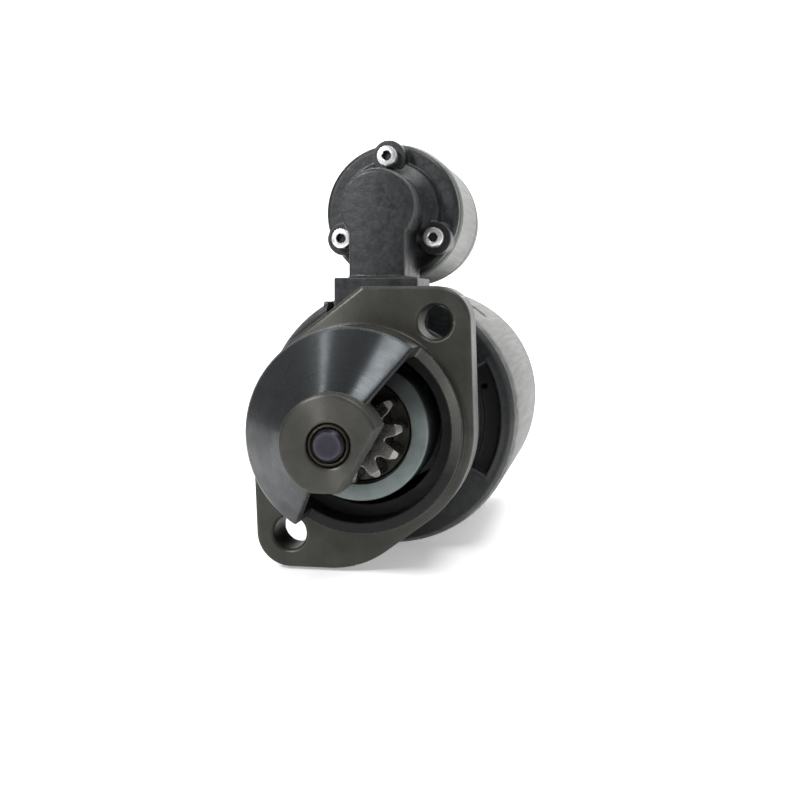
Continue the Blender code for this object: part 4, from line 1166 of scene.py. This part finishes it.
def solenoid_cap():
    low, high = ends("solenoid_cap")
    outer = radius_of("solenoid_cap")
    rim = back("solenoid_case") + GAP
    cap = turned(
        [(0, high), (outer - 0.0030, high), (outer, high - 0.0030), (outer, rim + 0.0030),
         (outer - 0.0006, rim + 0.0024), (outer - 0.0006, rim), (0.0281, rim), (0.0281, low),
         (0.0190, low), (0.0190, 0.1350), (0, 0.1350)],
    )
    cap = lifted(cap)
    studs = []
    radii = {"battery_terminal": STUD_HOLE, "motor_terminal": STUD_HOLE, "switch_terminal": 0.0028}
    for node, radius in radii.items():
        at = middle(node)
        studs.append(rod(radius, (at.x, 0.133, at.z), (at.x, 0.15, at.z)))
    cap = melted(cut(cap, *studs), 0.0004, 5)
    show(cap, "terminal_cap", "solenoid_cap", "plastic", angle=None)


def threaded(radius, low, high, pitch, depth):
    """A stud about the Y axis with cut rings as its thread."""
    profile = [(0, high), (radius - depth * 1.5, high)]
    turns = int((high - low - depth) / pitch)
    for i in range(turns):
        top = high - depth * 1.5 - i * pitch
        for inset, drop in ((0, 0.10), (0, 0.30), (depth, 0.62), (depth, 0.78)):
            profile.append((radius - inset, top - pitch * drop))
    return turned(profile + [(radius - depth, low), (0, low)], SMALL_TURN)


def stud_terminal(node, name):
    low, high = ends(node)
    at = middle(node)
    nut_front = back("solenoid_cap") + 0.0024
    nut_back = nut_front + 0.0061
    thread = threaded(0.0040, nut_back - 0.0005, high, 0.00125, 0.0006)
    plain = rod(0.0040, (0, low + 0.002, 0), (0, nut_back, 0))
    head = turned([(0, low + 0.0024), (0.0055, low + 0.0024), (0.0055, low), (0, low)], SMALL_TURN, 0.0003)
    nut = hexagon(0.0065, nut_front, nut_back)
    stud = placed(join(plain, thread, head, nut), at.x, at.z)
    show(stud, name, node, "bar", angle=25)


def switch_terminal():
    low, high = ends("switch_terminal")
    place = middle("switch_terminal")
    nut_front = back("solenoid_cap") + GAP
    nut_back = nut_front + 0.0037
    thread = threaded(0.0025, nut_back - 0.0005, high, 0.0008, 0.0004)
    plain = rod(0.0025, (0, low, 0), (0, nut_back, 0))
    nut = hexagon(0.0040, nut_front, nut_back, 0.0004)
    stud = placed(join(plain, thread, nut), place.x, place.z)
    show(stud, "switch_stud", "switch_terminal", "bright", angle=25)


def motor_strap():
    """A bent strip from the motor terminal, over a shelf and down into the motor."""
    thick = STRAP_THICKNESS
    half = 0.0045
    start = back("solenoid_cap") + GAP
    down = middle("strap_grommet").y - thick / 2
    shelf = 0.0630
    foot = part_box("motor_strap")[0].z
    stud = middle("motor_terminal")
    top = stud.z + 0.002
    path = [(start, top), (start, shelf), (down, shelf), (down, foot), (down + thick, foot)]
    path += [(down + thick, shelf + thick), (start + thick, shelf + thick), (start + thick, top)]
    strap = prism(softened(path, 0.0016), stud.x - half, stud.x + half, across="X")
    eye = rod(0.0072, (stud.x, start, stud.z), (stud.x, start + thick, stud.z))
    strap = cut(join(strap, eye), rod(STUD_HOLE, (stud.x, 0.14, stud.z), (stud.x, 0.16, stud.z)))
    show(bevelled(strap, 0.0002), "strap_strip", "motor_strap", "bar")


def grommet():
    lead = middle("strap_grommet")
    profile = [(0, 0.0605), (0.0086, 0.0605), (0.0095, 0.0596), (0.0095, 0.0580), (0.0072, 0.0580)]
    body = upright(profile + [(0.0072, 0.0502), (0.0068, 0.0500), (0, 0.0500)], lead.y, MEDIUM_TURN)
    half = STRAP_THICKNESS / 2 + GAP
    body = cut(body, box((-0.0048, lead.y - half, 0.04), (0.0048, lead.y + half, 0.07)))
    body = placed(bevelled(body, 0.0003), lead.x, 0)
    show(body, "grommet_moulding", "strap_grommet", "rubber")


def keep_cad_pieces():
    """The sealed inner pieces keep their CAD shapes and get the finished materials."""
    steel = ("centre_bearing_plate", "brush_plate", "solenoid_core", "armature_core", "stop_ring",
             "shift_lever")
    looks = dict.fromkeys(steel, "steel")
    looks.update(solenoid_coil="copper", commutator="bar", contact_bridge="bar", plunger="bright")
    for number in range(1, 5):
        looks[f"pole_shoe_{number}"] = "steel"
        looks[f"field_coil_{number}"] = "copper"
        looks[f"brush_{number}"] = "carbon"
        looks[f"brush_spring_{number}"] = "bright"
    for node, look in looks.items():
        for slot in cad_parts[node].material_slots:
            slot.material = LOOKS[look]


nose_bracket()
nose_bush()
shaft()
pinion_gear()
clutch()
guide_ring()
spring("meshing_spring", 0.0011, 5, "drive")
spring("return_spring", 0.0007, 6, "plunger", SOLENOID_HEIGHT)
lever_housing()
pivot_pin()
solenoid_screws()
yoke()
pole_screws()
end_cap()
rear_bush()
dust_cap()
slotted_screws()
through_bolts()
solenoid_case()
solenoid_cap()
stud_terminal("battery_terminal", "battery_stud")
stud_terminal("motor_terminal", "motor_stud")
switch_terminal()
motor_strap()
grommet()
keep_cad_pieces()


# Camera, floor and light


def aimed(obj, place, target):
    obj.location = place
    obj.rotation_euler = (Vector(target) - Vector(place)).to_track_quat("-Z", "Y").to_euler()


def camera():
    data = bpy.data.cameras.new("camera")
    data.lens = LENS
    data.sensor_width = SENSOR
    data.clip_start = 0.01
    obj = new_object(data, "camera")
    x, y = (cos(CAMERA_PITCH) * part for part in (-sin(CAMERA_YAW), cos(CAMERA_YAW)))
    aimed(obj, CAMERA_PLACE, Vector(CAMERA_PLACE) + Vector((x, y, -sin(CAMERA_PITCH))))
    bpy.context.scene.camera = obj


def soft_light(name, place, target, size, power):
    data = bpy.data.lights.new(name, "AREA")
    data.shape = "RECTANGLE"
    data.size, data.size_y = size
    data.energy = power
    aimed(new_object(data, name), place, target)


def floor():
    """A pale floor that curves up into a wall behind the object."""
    level = cad_box[0].z - 0.0002
    outline = [(-3.0, 0.0), (1.6, 0.0)] + arc((1.6, 0.8), 0.8, -90, 0, 24)[1:] + [(2.4, 3.0)]
    mesh = bpy.data.meshes.new("floor")
    corners = [(x, y, z + level) for x in (-4.0, 4.0) for y, z in outline]
    count = len(outline)
    faces = [(i, i + 1, count + i + 1, count + i) for i in range(count - 1)]
    mesh.from_pydata(corners, [], faces)
    mesh.shade_smooth()
    obj = new_object(mesh, "floor")
    glow = {"Emission_Color": (1, 1, 1, 1), "Emission_Strength": 0.35}
    paint = Paint("pale_floor", (0.88, 0.88, 0.88), 0.6, 0.0, **glow)
    patches = paint.noise(3, 3, 0.5)
    colour = paint.mix(patches, (0.87, 0.87, 0.87), (0.89, 0.89, 0.89))
    obj.data.materials.append(paint.finish(colour))


def daylight(strength):
    world = bpy.data.worlds.new("studio")
    bpy.context.scene.world = world
    world.use_nodes = True
    inputs = world.node_tree.nodes["Background"].inputs
    inputs["Color"].default_value = (1, 1, 1, 1)
    inputs["Strength"].default_value = strength


camera()
floor()
daylight(0.34)
soft_light("overhead_left", (-0.47, -0.10, 0.92), (-0.47, -0.05, 0.02), (0.12, 0.8), 1.6)
soft_light("overhead_right", (0.33, -0.15, 0.92), (0.33, -0.05, 0.02), (0.30, 0.8), 6.3)
soft_light("right_side", (1.0, 0.1, 0.45), (0, 0.08, 0.03), (0.5, 0.7), 0.3)
soft_light("front_left", (-0.305, -0.50, 0.36), (0, 0, 0.05), (0.12, 0.12), 4.2)
soft_light("wall_wash", (0, 0.7, 1.7), (0, 2.6, 0.5), (2.5, 0.6), 60)
bpy.context.scene.view_settings.view_transform = "Standard"
